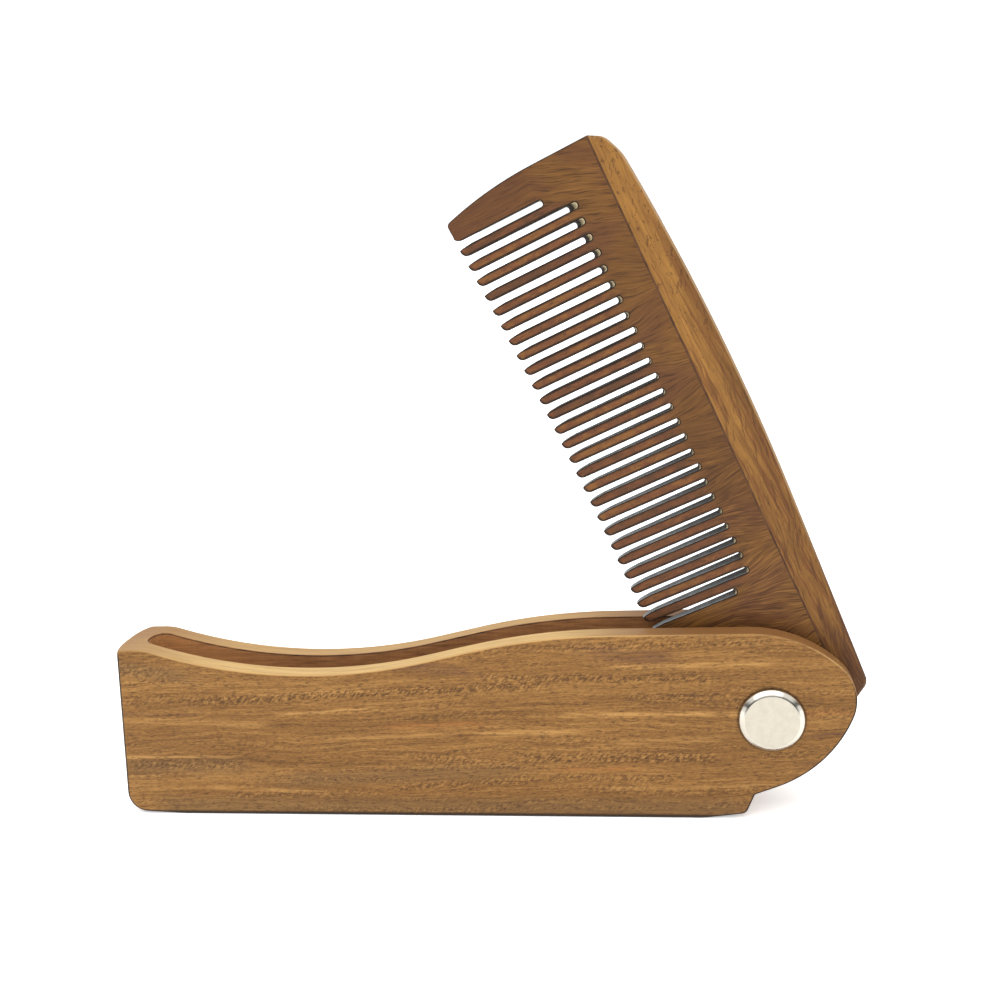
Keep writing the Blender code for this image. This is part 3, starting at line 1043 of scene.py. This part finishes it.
@dataclass(frozen=True)
class Glue:
    """Thin dark line of glue between the comb's two pieces of wood."""

    dark: Rgb = (62, 39, 24)
    light: Rgb = (90, 60, 36)
    roughness: float = 0.55
    spots: Grain = Grain(0.6, 1.2, 1.2, 3.0)

    def make(self, hinge: "Hinge") -> Material:
        """Build the material.

        Args:
            hinge: The rivet's place and the comb's angle.

        Returns:
            The material.
        """
        glue = Finish("glue_line", hinge.place, hinge.open_angle)
        spots = glue.noise(glue.place, self.spots)
        glue.colour = glue.ramp(spots, (0.35, self.dark), (0.65, self.light))
        return glue.surface(self.roughness, spots)


@dataclass(frozen=True)
class PaleFloor:
    """Plain pale floor with faint clouds, lit a little from below like a photographer's light table."""

    dull: Rgb = (251, 251, 251)
    bright: Rgb = (254, 254, 254)
    glow: float = 0.40
    roughness: float = 0.9
    clouds: Grain = Grain(0.003, 0.003, 0.003)

    def make(self) -> Material:
        """Build the material.

        Returns:
            The material.
        """
        floor = Finish("pale_floor")
        clouds = floor.noise(floor.place, self.clouds)
        floor.colour = floor.ramp(clouds, (0.0, self.dull), (1.0, self.bright))
        floor.shader.inputs["Emission Color"].default_value = linear(self.dull)
        floor.shader.inputs["Emission Strength"].default_value = self.glow
        return floor.surface(self.roughness)


# The comb's parts


@dataclass(frozen=True)
class Hinge:
    """The rivet's axis and the angle that the comb stands open, counted from folded."""

    place: Vector
    open_angle: float

    @classmethod
    def from_frame(cls, joint: dict) -> "Hinge":
        """Read the hinge from the frame's joint, whose lowest value folds the comb."""
        return cls(Vector(joint["pos_m"]), -joint["range_deg"][0])

    def opened(self) -> Matrix:
        """Transform that takes the folded comb's drawing to its place in the row frame."""
        turn = Matrix.Rotation(math.radians(self.open_angle), 4, "Y")
        return Matrix.Translation(self.place) @ turn


@dataclass
class Handle:
    """The handle: a thick plate with softened edges, a bulging left end and a slot for the comb."""

    hinge: Hinge
    thickness: float = 0.0130
    top: float = 0.0137
    bottom: float = -0.0164
    bore_radius: float = 0.0028
    slot_width: float = 0.0056
    slot_left_end: float = -0.1010
    slot_run_out: float = 0.0300
    slot_floor: float = -0.0134
    slot_over_top: float = 0.0100
    slot_end_round: float = 0.0026
    edge_round: float = 0.0004
    rim_margin: float = 0.00001
    slot_edge_round: float = 0.00025
    slot_edge_angle: float = 40.0
    end_bulge: float = 0.00129
    end_bulge_start: float = -0.0985
    end_bulge_full: float = -0.1035
    end_slices: int = 20

    def outline(self) -> list[Vector]:
        """The handle's outline seen from the front, from the top left corner on."""
        return round_corners((
            (-0.1040, 0.0122, 0.0010),
            (-0.0996, 0.0122, 0.0088),
            (-0.0760, 0.0048, 0.0880),
            (-0.0353, self.top, 0.1050),
            (0.0046, self.top, 0.0195),
            (0.0141, 0.0046, 0.0074),
            (0.0085, -0.0082, 0.0200),
            (-0.0027, -0.01245, 0.0003),
            (-0.0041, -0.0156, 0.0012),
            (-0.0105, self.bottom, 0.0120),
            (-0.0960, self.bottom, 0.0200),
            (-0.1055, -0.0159, 0.0032),
        ))

    def swell_left_end(self, item: Object) -> None:
        """Slice the left end's faces across Y and swell them outwards, most in the middle.

        Args:
            item: The handle's plate, with the rivet's axis at the origin.
        """
        with shaping(item.data) as shape:
            for number in range(1, self.end_slices):
                faces = [face for face in shape.faces if abs(face.normal.y) < RIM_FACING
                         and face.calc_center_median().x < self.end_bulge_start]
                parts = {part for face in faces for part in (*face.verts, *face.edges)}
                share = 2 * number / self.end_slices - 1
                across = (self.thickness / 2 - 2 * self.edge_round) * math.sin(share * math.pi / 2)
                bmesh.ops.bisect_plane(shape, geom=[*parts, *faces], dist=TINY, plane_co=(0.0, across, 0.0),
                                       plane_no=(0.0, 1.0, 0.0))
            for vert in shape.verts:
                reach = (vert.co.x - self.end_bulge_start) / (self.end_bulge_full - self.end_bulge_start)
                across = abs(2 * vert.co.y / self.thickness)
                vert.co.x -= self.end_bulge * max(0.0, min(1.0, reach)) ** 2 * (1 - across ** 3)

    def slot_cutter(self) -> Object:
        """The slot as a solid, round at its left end and open past the handle's right end and top."""
        half, left, right = self.slot_width / 2, self.slot_left_end, self.slot_run_out
        outline = round_corners(((left, half, self.slot_end_round), (left, -half, self.slot_end_round),
                                 (right, -half, 0.0), (right, half, 0.0)))
        cutter = prism("slot_cutter", outline, -self.top - self.slot_over_top, -self.slot_floor)
        cutter.data.transform(Matrix.Rotation(-math.pi / 2, 4, "X"))
        return cutter

    def build(self, wood: Material, slot_wood: Material) -> Object:
        """Build the handle at its place.

        Args:
            wood: Finish of the outside.
            slot_wood: Finish of the slot.

        Returns:
            The handle.
        """
        item = plate("handle_block", [self.outline(), circle(self.bore_radius, BORE_SIDES)], self.thickness)
        self.swell_left_end(item)
        rim = self.thickness / 2 - self.rim_margin
        round_edges(item, lambda edge: bends(edge) and all(abs(vert.co.y) > rim for vert in edge.verts),
                    self.edge_round, 4)
        item.data.materials.append(wood)
        cutter = self.slot_cutter()
        cutter.data.materials.append(slot_wood)
        cut = item.modifiers.new("Slot", "BOOLEAN")
        cut.object = cutter
        cut.solver = "EXACT"
        cut.material_mode = "TRANSFER"
        bake_down(item)
        bpy.data.objects.remove(cutter)
        slot_index = item.data.materials.find(slot_wood.name)
        round_edges(item, lambda edge: bends(edge, self.slot_edge_angle) and off_bore(edge)
                    and sum(face.material_index == slot_index for face in edge.link_faces) == 1,
                    self.slot_edge_round, 3, slot_index)
        item.data.transform(Matrix.Translation(self.hinge.place))
        smooth_over(item)
        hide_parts("handle")
        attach(item, "handle_body")
        return item


@dataclass
class Comb:
    """The comb: a toothed plate and a strip glued along its back, both thinning towards the tooth tips.

    A tooth's end is drawn by (share of the tooth's width, height over the tip line) from either side. The
    plates start out larger by spare beyond the joint and tip_spare beyond the teeth, and are then cut down.
    """

    hinge: Hinge
    thickness_at_rivet: float = 0.0029
    wedge: float = 0.10
    top: float = 0.0901
    joint: float = 0.01155
    glue_gap: float = 0.0003
    glue_inset: float = 0.00002
    tooth_count: int = 26
    pitch: float = 0.00251
    gap: float = 0.00098
    first_gap: float = 0.08505
    tip: float = -0.0115
    tip_bow: float = 0.00125
    tip_bow_middle: float = 0.042
    root: float = 0.00615
    first_root: float = 0.0016
    last_root: float = 0.0031
    root_round: float = 0.00043
    root_zone: float = 1.5
    root_facing: float = 0.2
    first_slope: float = 0.0004
    second_slope: float = 0.0018
    slope_step: float = 0.00015
    least_slope: float = 0.0005
    uneven: float = 0.00008
    bore_radius: float = 0.0028
    field_edge: float = 0.00014
    strip_edge: float = 0.0006
    tail_round: float = 0.0020
    seed: int = 7
    guard_tooth: tuple[Corner, ...] = (
        (0.08505, -0.01265, 0.0015),
        (0.08803, -0.01273, 0.0007),
        (0.09006, -0.00500, 0.0570),
    )
    heel: tuple[Corner, ...] = (
        (0.01860, -0.01130, 0.0010),
        (-0.00930, -0.00960, 0.0092),
        (-0.00890, 0.00500, 0.0080),
    )
    tail: Pair = (-0.00196, 0.01526)
    tail_pull: float = 0.00002
    strip_back: tuple[Corner, ...] = (
        (0.05610, 0.01786, 0.3850),
        (0.08590, 0.01496, 0.0080),
        (0.08890, 0.01365, 0.0026),
    )
    tip_outer_side: tuple[Pair, ...] = (
        (0.00, 0.00240), (0.06, 0.00136), (0.14, 0.00050), (0.20, 0.00020), (0.27, 0.00003), (0.36, -0.00070))
    tip_rivet_side: tuple[Pair, ...] = (
        (1.00, 0.00105), (0.97, 0.00072), (0.90, 0.00046), (0.80, 0.00027), (0.68, 0.00013), (0.52, 0.00003),
        (0.38, 0.00000), (0.15, -0.00010))
    spare: float = 0.0030
    tip_spare: float = 0.0006
    guard_lap: float = 0.0004
    heel_lap: float = 0.0010
    margin: float = 0.0001
    cutter_depth: float = 0.0040
    cutter_half: float = 0.005

    def points(self, corners: Sequence[Corner]) -> list[Vector]:
        """Rounded outline of (along, up, radius) corners, with along turned to -X."""
        return [Vector((-point.x, point.y)) for point in round_corners(corners)]

    def tail_at(self, up: float) -> float:
        """Distance along of the straight edge between the heel and the tail, at a height."""
        heel_along, heel_up, _ = self.heel[-1]
        return heel_along + (up - heel_up) / (self.tail[1] - heel_up) * (self.tail[0] - heel_along)

    def half_at(self, up: float) -> float:
        """Half the comb's thickness at a height."""
        return (self.thickness_at_rivet + self.wedge * up) / 2

    def thin(self, item: Object, inset: float = 0.0) -> None:
        """Thin a piece towards the tooth tips, and hold it inside the comb's sides by an inset."""
        for vertex in item.data.vertices:
            vertex.co.y = math.copysign(self.half_at(vertex.co.z) - inset, vertex.co.y)

    def trim(self, item: Object, height: float, above: bool) -> None:
        """Cut a piece off level at the joint and close it.

        Args:
            item: The piece.
            height: Height of the cut.
            above: Whether what lies above the cut goes.
        """
        with shaping(item.data, closed=True) as shape:
            cut = bmesh.ops.bisect_plane(shape, geom=[*shape.verts, *shape.edges, *shape.faces],
                                         dist=CUT_DISTANCE, plane_co=(0.0, 0.0, height),
                                         plane_no=(0.0, 0.0, 1.0), clear_outer=above,
                                         clear_inner=not above)
            rim = [part for part in cut["geom_cut"] if isinstance(part, BMEdge)]
            bmesh.ops.holes_fill(shape, edges=rim)

    def slice_at_gaps(self, item: Object) -> None:
        """Slice the plate's faces along the middle of every gap, so that each is simple enough to fill.

        Args:
            item: The plate.
        """
        with shaping(item.data) as shape:
            for number in range(self.tooth_count + 1):
                middle = number * self.pitch + self.gap / 2 - self.first_gap
                bmesh.ops.bisect_plane(shape, geom=[*shape.verts, *shape.edges, *shape.faces], dist=TINY,
                                       plane_co=(middle, 0.0, 0.0), plane_no=(1.0, 0.0, 0.0))

    def gap_cutter(self, sawn: Material, root_wood: Material) -> Object:
        """One gap between two teeth as a solid, with the tooth tips' shape at its mouth.

        Args:
            sawn: Finish of the gap's walls.
            root_wood: Finish of the gap's end.

        Returns:
            The cutter, whose attribute at_root is 1 at the gap's end.
        """
        half, tooth, deep = self.gap / 2, self.pitch - self.gap, self.tip - self.cutter_depth
        far = [(half + (1 - share) * tooth, self.tip + back, 0.0) for share, back in self.tip_rivet_side]
        near = [(-half - share * tooth, self.tip + back, 0.0)
                for share, back in reversed(self.tip_outer_side)]
        root = [(side * half, self.root, self.root_round) for side in (1, -1)]
        corners = [root[0], *far, (far[-1][0], deep, 0.0), (near[0][0], deep, 0.0), *near, root[1]]
        cutter = prism("gap_cutter", self.points(corners), -self.cutter_half, self.cutter_half)
        mesh = cutter.data
        for material in (sawn, root_wood):
            mesh.materials.append(material)
        at_root = mesh.attributes.new("at_root", "FLOAT", "POINT")
        edge = self.root - self.root_zone * self.root_round
        for vertex in mesh.vertices:
            at_root.data[vertex.index].value = float(vertex.co.z > edge)
        for face in mesh.polygons:
            if face.center.z > edge and abs(face.normal.y) < RIM_FACING and face.normal.z > self.root_facing:
                face.material_index = 1
        return cutter

    def row_sizes(self) -> dict[str, float]:
        """Sizes of the row of gaps, by the names of the tree's inputs."""
        return {
            "Gaps": self.tooth_count + 1, "Seed": self.seed, "Pitch": self.pitch,
            "First gap": self.first_gap - self.gap / 2, "Tip bow": self.tip_bow,
            "Bow middle": self.tip_bow_middle, "Root": self.root, "First root": self.first_root,
            "Last root": self.last_root, "First slope": self.first_slope, "Second slope": self.second_slope,
            "Slope step": self.slope_step, "Least slope": self.least_slope,
            "Half thickness": self.half_at(self.root), "Uneven": self.uneven,
        }

    def gap_tree(self, wood: Material) -> NodeTree:
        """Geometry nodes that saw the row of gaps out of the blank.

        Args:
            wood: Finish of the plate.

        Returns:
            The tree, with the row's sizes as named inputs.
        """
        sizes = {name: "Int" if isinstance(size, int) else "Float" for name, size in self.row_sizes().items()}
        row = Group("saw_gaps", "GeometryNodeTree", {"Geometry": "Geometry", "Cutter": "Object", **sizes},
                    ("Geometry", "Geometry"))
        given = row.given

        index = row.add("GeometryNodeInputIndex")
        along = given["First gap"] - index * given["Pitch"]
        spots = row.add("GeometryNodePoints", {"Count": given["Gaps"],
                                               "Position": row.vector(along * -1.0, 0.0, 0.0)})
        cutter = row.add("GeometryNodeObjectInfo", {"Object": given["Cutter"]}, "Geometry")
        copies = row.add("GeometryNodeInstanceOnPoints", {"Points": spots, "Instance": cutter})
        number = {"Geometry": copies, "Name": "gap", "Value": index}
        numbered = row.add("GeometryNodeStoreNamedAttribute", number, data_type="FLOAT", domain="INSTANCE")
        cutters = row.add("GeometryNodeRealizeInstances", {0: numbered})

        gap, at_root = (row.add("GeometryNodeInputNamedAttribute", {"Name": name}, data_type="FLOAT")
                        for name in ("gap", "at_root"))
        is_first = row.math("COMPARE", gap, 0.0, 0.1)
        is_last = row.math("COMPARE", gap, given["Gaps"] - 1.0, 0.1)
        bowed = (given["First gap"] - gap * given["Pitch"] - given["Bow middle"]) / given["Bow middle"]
        tip_move = bowed * bowed * (given["Tip bow"] * -1.0)
        draw = {"ID": row.math("ROUND", gap), "Seed": given["Seed"], 2: -1.0, 3: 1.0}
        root_move = row.add("FunctionNodeRandomValue", draw, 1, data_type="FLOAT") * given["Uneven"]
        for flag, name in ((is_first, "First root"), (is_last, "Last root")):
            root_move = flag * (given[name] - given["Root"]) + root_move
        slope = row.most(given["Second slope"] - (gap - 1.0) * given["Slope step"], given["Least slope"])
        slope = is_first * (given["First slope"] - slope) + slope
        back = row.parts(row.add("GeometryNodeInputPosition"))[1]
        depth = (back + given["Half thickness"]) / (given["Half thickness"] * 2.0)
        move = (1.0 - at_root) * tip_move + at_root * (root_move - slope * depth)
        moved = {"Geometry": cutters, "Offset": row.vector(0.0, 0.0, move)}
        cutters = row.add("GeometryNodeSetPosition", moved)

        blank = row.add("GeometryNodeSetMaterial", {"Geometry": given["Geometry"], "Material": wood})
        meshes = {"Mesh 1": blank, "Mesh 2": cutters, "Self Intersection": True}
        sawn = row.add("GeometryNodeMeshBoolean", meshes, operation="DIFFERENCE", solver="EXACT")
        whole = row.add("GeometryNodeRealizeInstances", {0: sawn})
        is_plate = row.add("GeometryNodeMaterialSelection", {"Material": wood})
        return row.closed(row.add("GeometryNodeSetMaterial", {"Geometry": whole, "Material": wood,
                                                              "Selection": is_plate}))

    def saw_gaps(self, item: Object, cutter: Object, wood: Material) -> None:
        """Run the tree on the blank and keep the result as plain mesh.

        Args:
            item: The blank.
            cutter: One gap's cutter.
            wood: Finish of the plate.
        """
        sizes = {"Cutter": cutter, **self.row_sizes()}
        modifier = item.modifiers.new("Saw gaps", "NODES")
        modifier.node_group = self.gap_tree(wood)
        for socket in modifier.node_group.interface.items_tree:
            if socket.in_out == "INPUT" and socket.name in sizes:
                modifier[socket.identifier] = sizes[socket.name]
        item.update_tag()
        bake_down(item)
        bpy.data.objects.remove(cutter)

    def finish(self, item: Object) -> Object:
        """Turn a piece open, shade it and let it ride on the comb.

        Args:
            item: The piece.

        Returns:
            The piece.
        """
        item.data.transform(self.hinge.opened())
        smooth_over(item)
        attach(item, "comb")
        return item

    def build_field(self, wood: Material, sawn: Material, root_wood: Material,
                    rim_shade_wood: Material) -> Object:
        """Build the toothed plate.

        Args:
            wood: Finish of the plate.
            sawn: Finish of the gaps' walls.
            root_wood: Finish of the gaps' ends.
            rim_shade_wood: Finish of the rounded edges.

        Returns:
            The plate.
        """
        over, below = self.joint + self.spare, self.tip - self.tip_bow - self.tip_spare
        heel_along, heel_up, _ = self.heel[0]
        corners = [
            (self.top, over, 0.0),
            *reversed(self.guard_tooth),
            (self.first_gap - self.guard_lap, below, 0.0),
            (heel_along + self.heel_lap, below, 0.0),
            (heel_along, heel_up - self.margin, 0.0),
            *self.heel[1:],
            (self.tail_at(over), over, 0.0),
        ]
        item = plate("toothed_plate", [self.points(corners), circle(self.bore_radius, BORE_SIDES)],
                     self.thickness_at_rivet)
        self.thin(item)
        self.saw_gaps(item, self.gap_cutter(sawn, root_wood), wood)
        # The rounded edges get a near-black finish, painted shade.
        item.data.materials.append(rim_shade_wood)
        round_edges(item, lambda edge: bends(edge) and off_bore(edge) and on_side(edge), self.field_edge, 2,
                    len(item.data.materials) - 1)
        self.slice_at_gaps(item)
        self.trim(item, self.joint - self.glue_gap, above=True)
        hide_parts("comb_field")
        return self.finish(item)

    def build_strip(self, wood: Material) -> Object:
        """Build the strip along the comb's back.

        Args:
            wood: Its finish.

        Returns:
            The strip.
        """
        under = self.joint - self.spare
        corners = ((self.top, under, 0.0), (self.tail_at(under), under, 0.0),
                   (self.tail[0] + self.tail_pull, self.tail[1] - self.tail_pull, self.tail_round),
                   *self.strip_back, (self.top, self.joint, 0.0))
        item = plate("back_strip", [self.points(corners)], self.thickness_at_rivet)
        self.thin(item)
        round_edges(item, lambda edge: bends(edge) and on_side(edge)
                    and max(vert.co.z for vert in edge.verts) > under + self.margin, self.strip_edge, 5)
        self.trim(item, self.joint, above=False)
        item.data.materials.append(wood)
        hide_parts("spine_strip")
        return self.finish(item)

    def build_glue(self, glue: Material) -> Object:
        """Build the line of glue between the two pieces of wood.

        Args:
            glue: Its finish.

        Returns:
            The line.
        """
        low, high, inset = self.joint - self.glue_gap, self.joint, self.glue_inset
        corners = ((self.top - inset, low, 0.0), (self.tail_at(low) + inset, low, 0.0),
                   (self.tail_at(high) + inset, high, 0.0), (self.top - inset, high, 0.0))
        item = prism("glue_line", self.points(corners), -self.half_at(low), self.half_at(low))
        self.thin(item, inset)
        item.data.materials.append(glue)
        return self.finish(item)


@dataclass
class Rivet:
    """The rivet: a front cap with its post, and the cap that closes it at the back."""

    hinge: Hinge
    face: float = 0.0065
    cap_radius: float = 0.0050
    flat_radius: float = 0.0041
    cap_round: float = 0.00024
    slope: float = 0.78
    proud: float = 0.0011
    lip: float = 0.00012
    lip_drop: float = 0.00005
    crown: float = 0.00001
    crown_width: float = 0.00008
    seat: float = 0.00004
    seat_chamfer: float = 0.00006
    least_side: float = 0.0001
    post_radius: float = 0.0025
    post_clearance: float = 0.0001
    sides: int = 128
    round_steps: int = 10
    sharp_angle: float = 40.0

    def cap_profile(self) -> list[Pair]:
        """A cap's outer side as (radius, height over the handle), from its middle to its seat."""
        flat, lip, drop, low = self.flat_radius, self.lip, self.lip_drop, self.proud - self.crown
        profile = [(0.0, self.proud), (0.6 * flat, self.proud - 0.4 * self.crown),
                   (flat - self.crown_width, low), (flat, low),
                   (flat + 0.4 * lip, self.proud - 0.2 * drop), (flat + lip, self.proud - drop)]
        shoulder = self.cap_radius - self.cap_round
        for share in (0.33, 0.67, 1.0):
            radius = flat + lip + share * (shoulder - flat - lip)
            profile.append((radius, self.proud - drop - (radius - flat - lip) * self.slope))
        start, top = math.atan(self.slope), profile[-1][1]
        radius = self.cap_round / (1 - math.sin(start))
        for number in range(1, self.round_steps + 1):
            angle = start + (math.pi / 2 - start) * number / self.round_steps
            height = top - radius * (math.cos(start) - math.cos(angle))
            profile.append((shoulder + radius * (math.sin(angle) - math.sin(start)),
                            max(self.seat + self.least_side, height)))
        return [*profile, (self.cap_radius, self.seat + self.seat_chamfer),
                (self.cap_radius - self.seat_chamfer, self.seat)]

    def turn(self, name: str, profile: Sequence[Pair], side: Facing, metal: Material) -> Object:
        """Turn a profile round the rivet's axis, facing one side of the handle.

        Args:
            name: The piece's name.
            profile: Points of (radius, height over the handle), with both ends on the axis.
            side: The side it faces.
            metal: Its finish.

        Returns:
            The piece.
        """
        mesh = bpy.data.meshes.new(name)
        with shaping(mesh, closed=True) as shape:
            rings = [[shape.verts.new((point.x, side.value * (self.face + height), point.y))
                      for point in circle(radius, self.sides if radius else 1)] for radius, height in profile]
            for upper, lower in zip(rings, rings[1:]):
                for number in range(self.sides):
                    following = (number + 1) % self.sides
                    ring = (upper[number % len(upper)], upper[following % len(upper)],
                            lower[following % len(lower)], lower[number % len(lower)])
                    shape.faces.new(list(dict.fromkeys(ring)))
        item = link(name, mesh)
        item.data.transform(Matrix.Translation(self.hinge.place))
        item.data.materials.append(metal)
        smooth_over(item, self.sharp_angle)
        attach(item, "handle_body")
        return item

    def build(self, metal: Material) -> list[Object]:
        """Build both pieces of the rivet.

        Args:
            metal: Their finish.

        Returns:
            The front cap with its post, and the back cap.
        """
        end = self.post_clearance - 2 * self.face
        post = [(self.post_radius, self.seat), (self.post_radius, end), (0.0, end)]
        front = self.turn("front_cap", self.cap_profile() + post, Facing.FRONT, metal)
        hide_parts("pivot_rivet")
        back = self.turn("back_cap", self.cap_profile() + [(0.0, self.seat)], Facing.BACK, metal)
        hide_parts("rivet_back_cap")
        return [front, back]


@dataclass
class Studio:
    """Plain pale floor, soft studio light, and the camera where the photographer stood.

    The light from all round is strength, less band_loss in a low band everywhere but behind the comb. Each
    pair is (where nothing is lost, where all of it is): along +Y for band_front, upwards for the others.
    """

    hinge: Hinge
    floor_size: float = 30.0
    camera_from_rivet: Triple = (-0.01078, -0.18810, 0.07594)
    camera_turn: Triple = (77.5008, 3.5656, 8.1659)
    lens: float = 44.955
    nearest: float = 0.01
    sun_power: float = 1.45
    sun_spread: float = 70.0
    sun_turn: Triple = (28.0, 0.0, -12.0)
    strength: float = 1.17
    band_loss: float = 1.02
    band_bottom: Pair = (0.14, 0.22)
    band_top: Pair = (0.50, 0.25)
    band_front: Pair = (0.75, 0.40)

    def build_floor(self, pale: Material) -> Object:
        """Build the floor.

        Args:
            pale: Its finish.

        Returns:
            The floor.
        """
        mesh = bpy.data.meshes.new("floor")
        half = self.floor_size / 2
        corners = [(-half, -half, 0), (half, -half, 0), (half, half, 0), (-half, half, 0)]
        mesh.from_pydata(corners, [], [(0, 1, 2, 3)])
        mesh.materials.append(pale)
        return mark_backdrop(link("floor", mesh))

    def build_lights(self) -> None:
        """Set the broad overhead light and the even light that comes from all round."""
        light = bpy.data.lights.new("overhead", "SUN")
        light.energy = self.sun_power
        light.angle = math.radians(self.sun_spread)
        link("overhead", light).rotation_euler = [math.radians(angle) for angle in self.sun_turn]
        world = bpy.data.worlds.new("studio")
        bpy.context.scene.world = world
        world.use_nodes = True
        sheet = Sheet(world.node_tree)
        _, forward, up = sheet.parts(sheet.add("ShaderNodeTexCoord", output="Generated"))
        band = forward.ease(*self.band_front) * (up.ease(*self.band_top) * up.ease(*self.band_bottom))
        background = world.node_tree.nodes["Background"]
        background.inputs["Color"].default_value = (1.0, 1.0, 1.0, 1.0)
        sheet.feed(background.inputs["Strength"], band * -self.band_loss + self.strength)

    def build_camera(self) -> None:
        """Set the camera at the photograph's viewing angle."""
        camera = bpy.data.cameras.new("camera")
        camera.lens = self.lens
        camera.clip_start = self.nearest
        item = link("camera", camera)
        item.location = self.hinge.place + Vector(self.camera_from_rivet)
        item.rotation_euler = [math.radians(angle) for angle in self.camera_turn]
        bpy.context.scene.camera = item

    def build(self, pale: Material) -> None:
        """Build the whole studio.

        Args:
            pale: The floor's finish.
        """
        self.build_camera()
        self.build_floor(pale)
        self.build_lights()
        bpy.context.scene.view_settings.view_transform = "Standard"
        LOG.info("studio: overhead light of %.1f", self.sun_power)


def main() -> None:
    """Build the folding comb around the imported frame, then the studio."""
    logging.basicConfig(level=logging.INFO, format="%(name)s %(message)s")
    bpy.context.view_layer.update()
    hinge = Hinge.from_frame(frame["joints"][0])
    handle, comb, rivet = Handle(hinge), Comb(hinge), Rivet(hinge)

    report(handle.build(HandleWood().make(hinge, streak_group()), SlotWood().make(hinge)))
    sawn = SawnWood("sawn_wood", (112, 114, 118), (168, 170, 168), (56, 50, 44), tip_dark=0.85,
                    root_dark=0.5)
    root_wood = SawnWood("gap_end_wood", (178, 162, 126), (206, 190, 154), (52, 38, 28), back_from=-0.7)
    # Near-black finish of the teeth's rounded edges, painted shade.
    rim_shade_wood = SawnWood("tooth_edge_wood", (22, 15, 10), (40, 28, 20), (34, 24, 17))
    cut_woods = [wood.make(hinge) for wood in (sawn, root_wood, rim_shade_wood)]
    report(comb.build_field(CombWood().make(hinge, comb), *cut_woods))
    report(comb.build_strip(StripWood().make(hinge, comb)))
    report(comb.build_glue(Glue().make(hinge)))
    for cap in rivet.build(Nickel().make(hinge)):
        report(cap)
    Studio(hinge).build(PaleFloor().make())


if __name__ == "__main__":
    main()
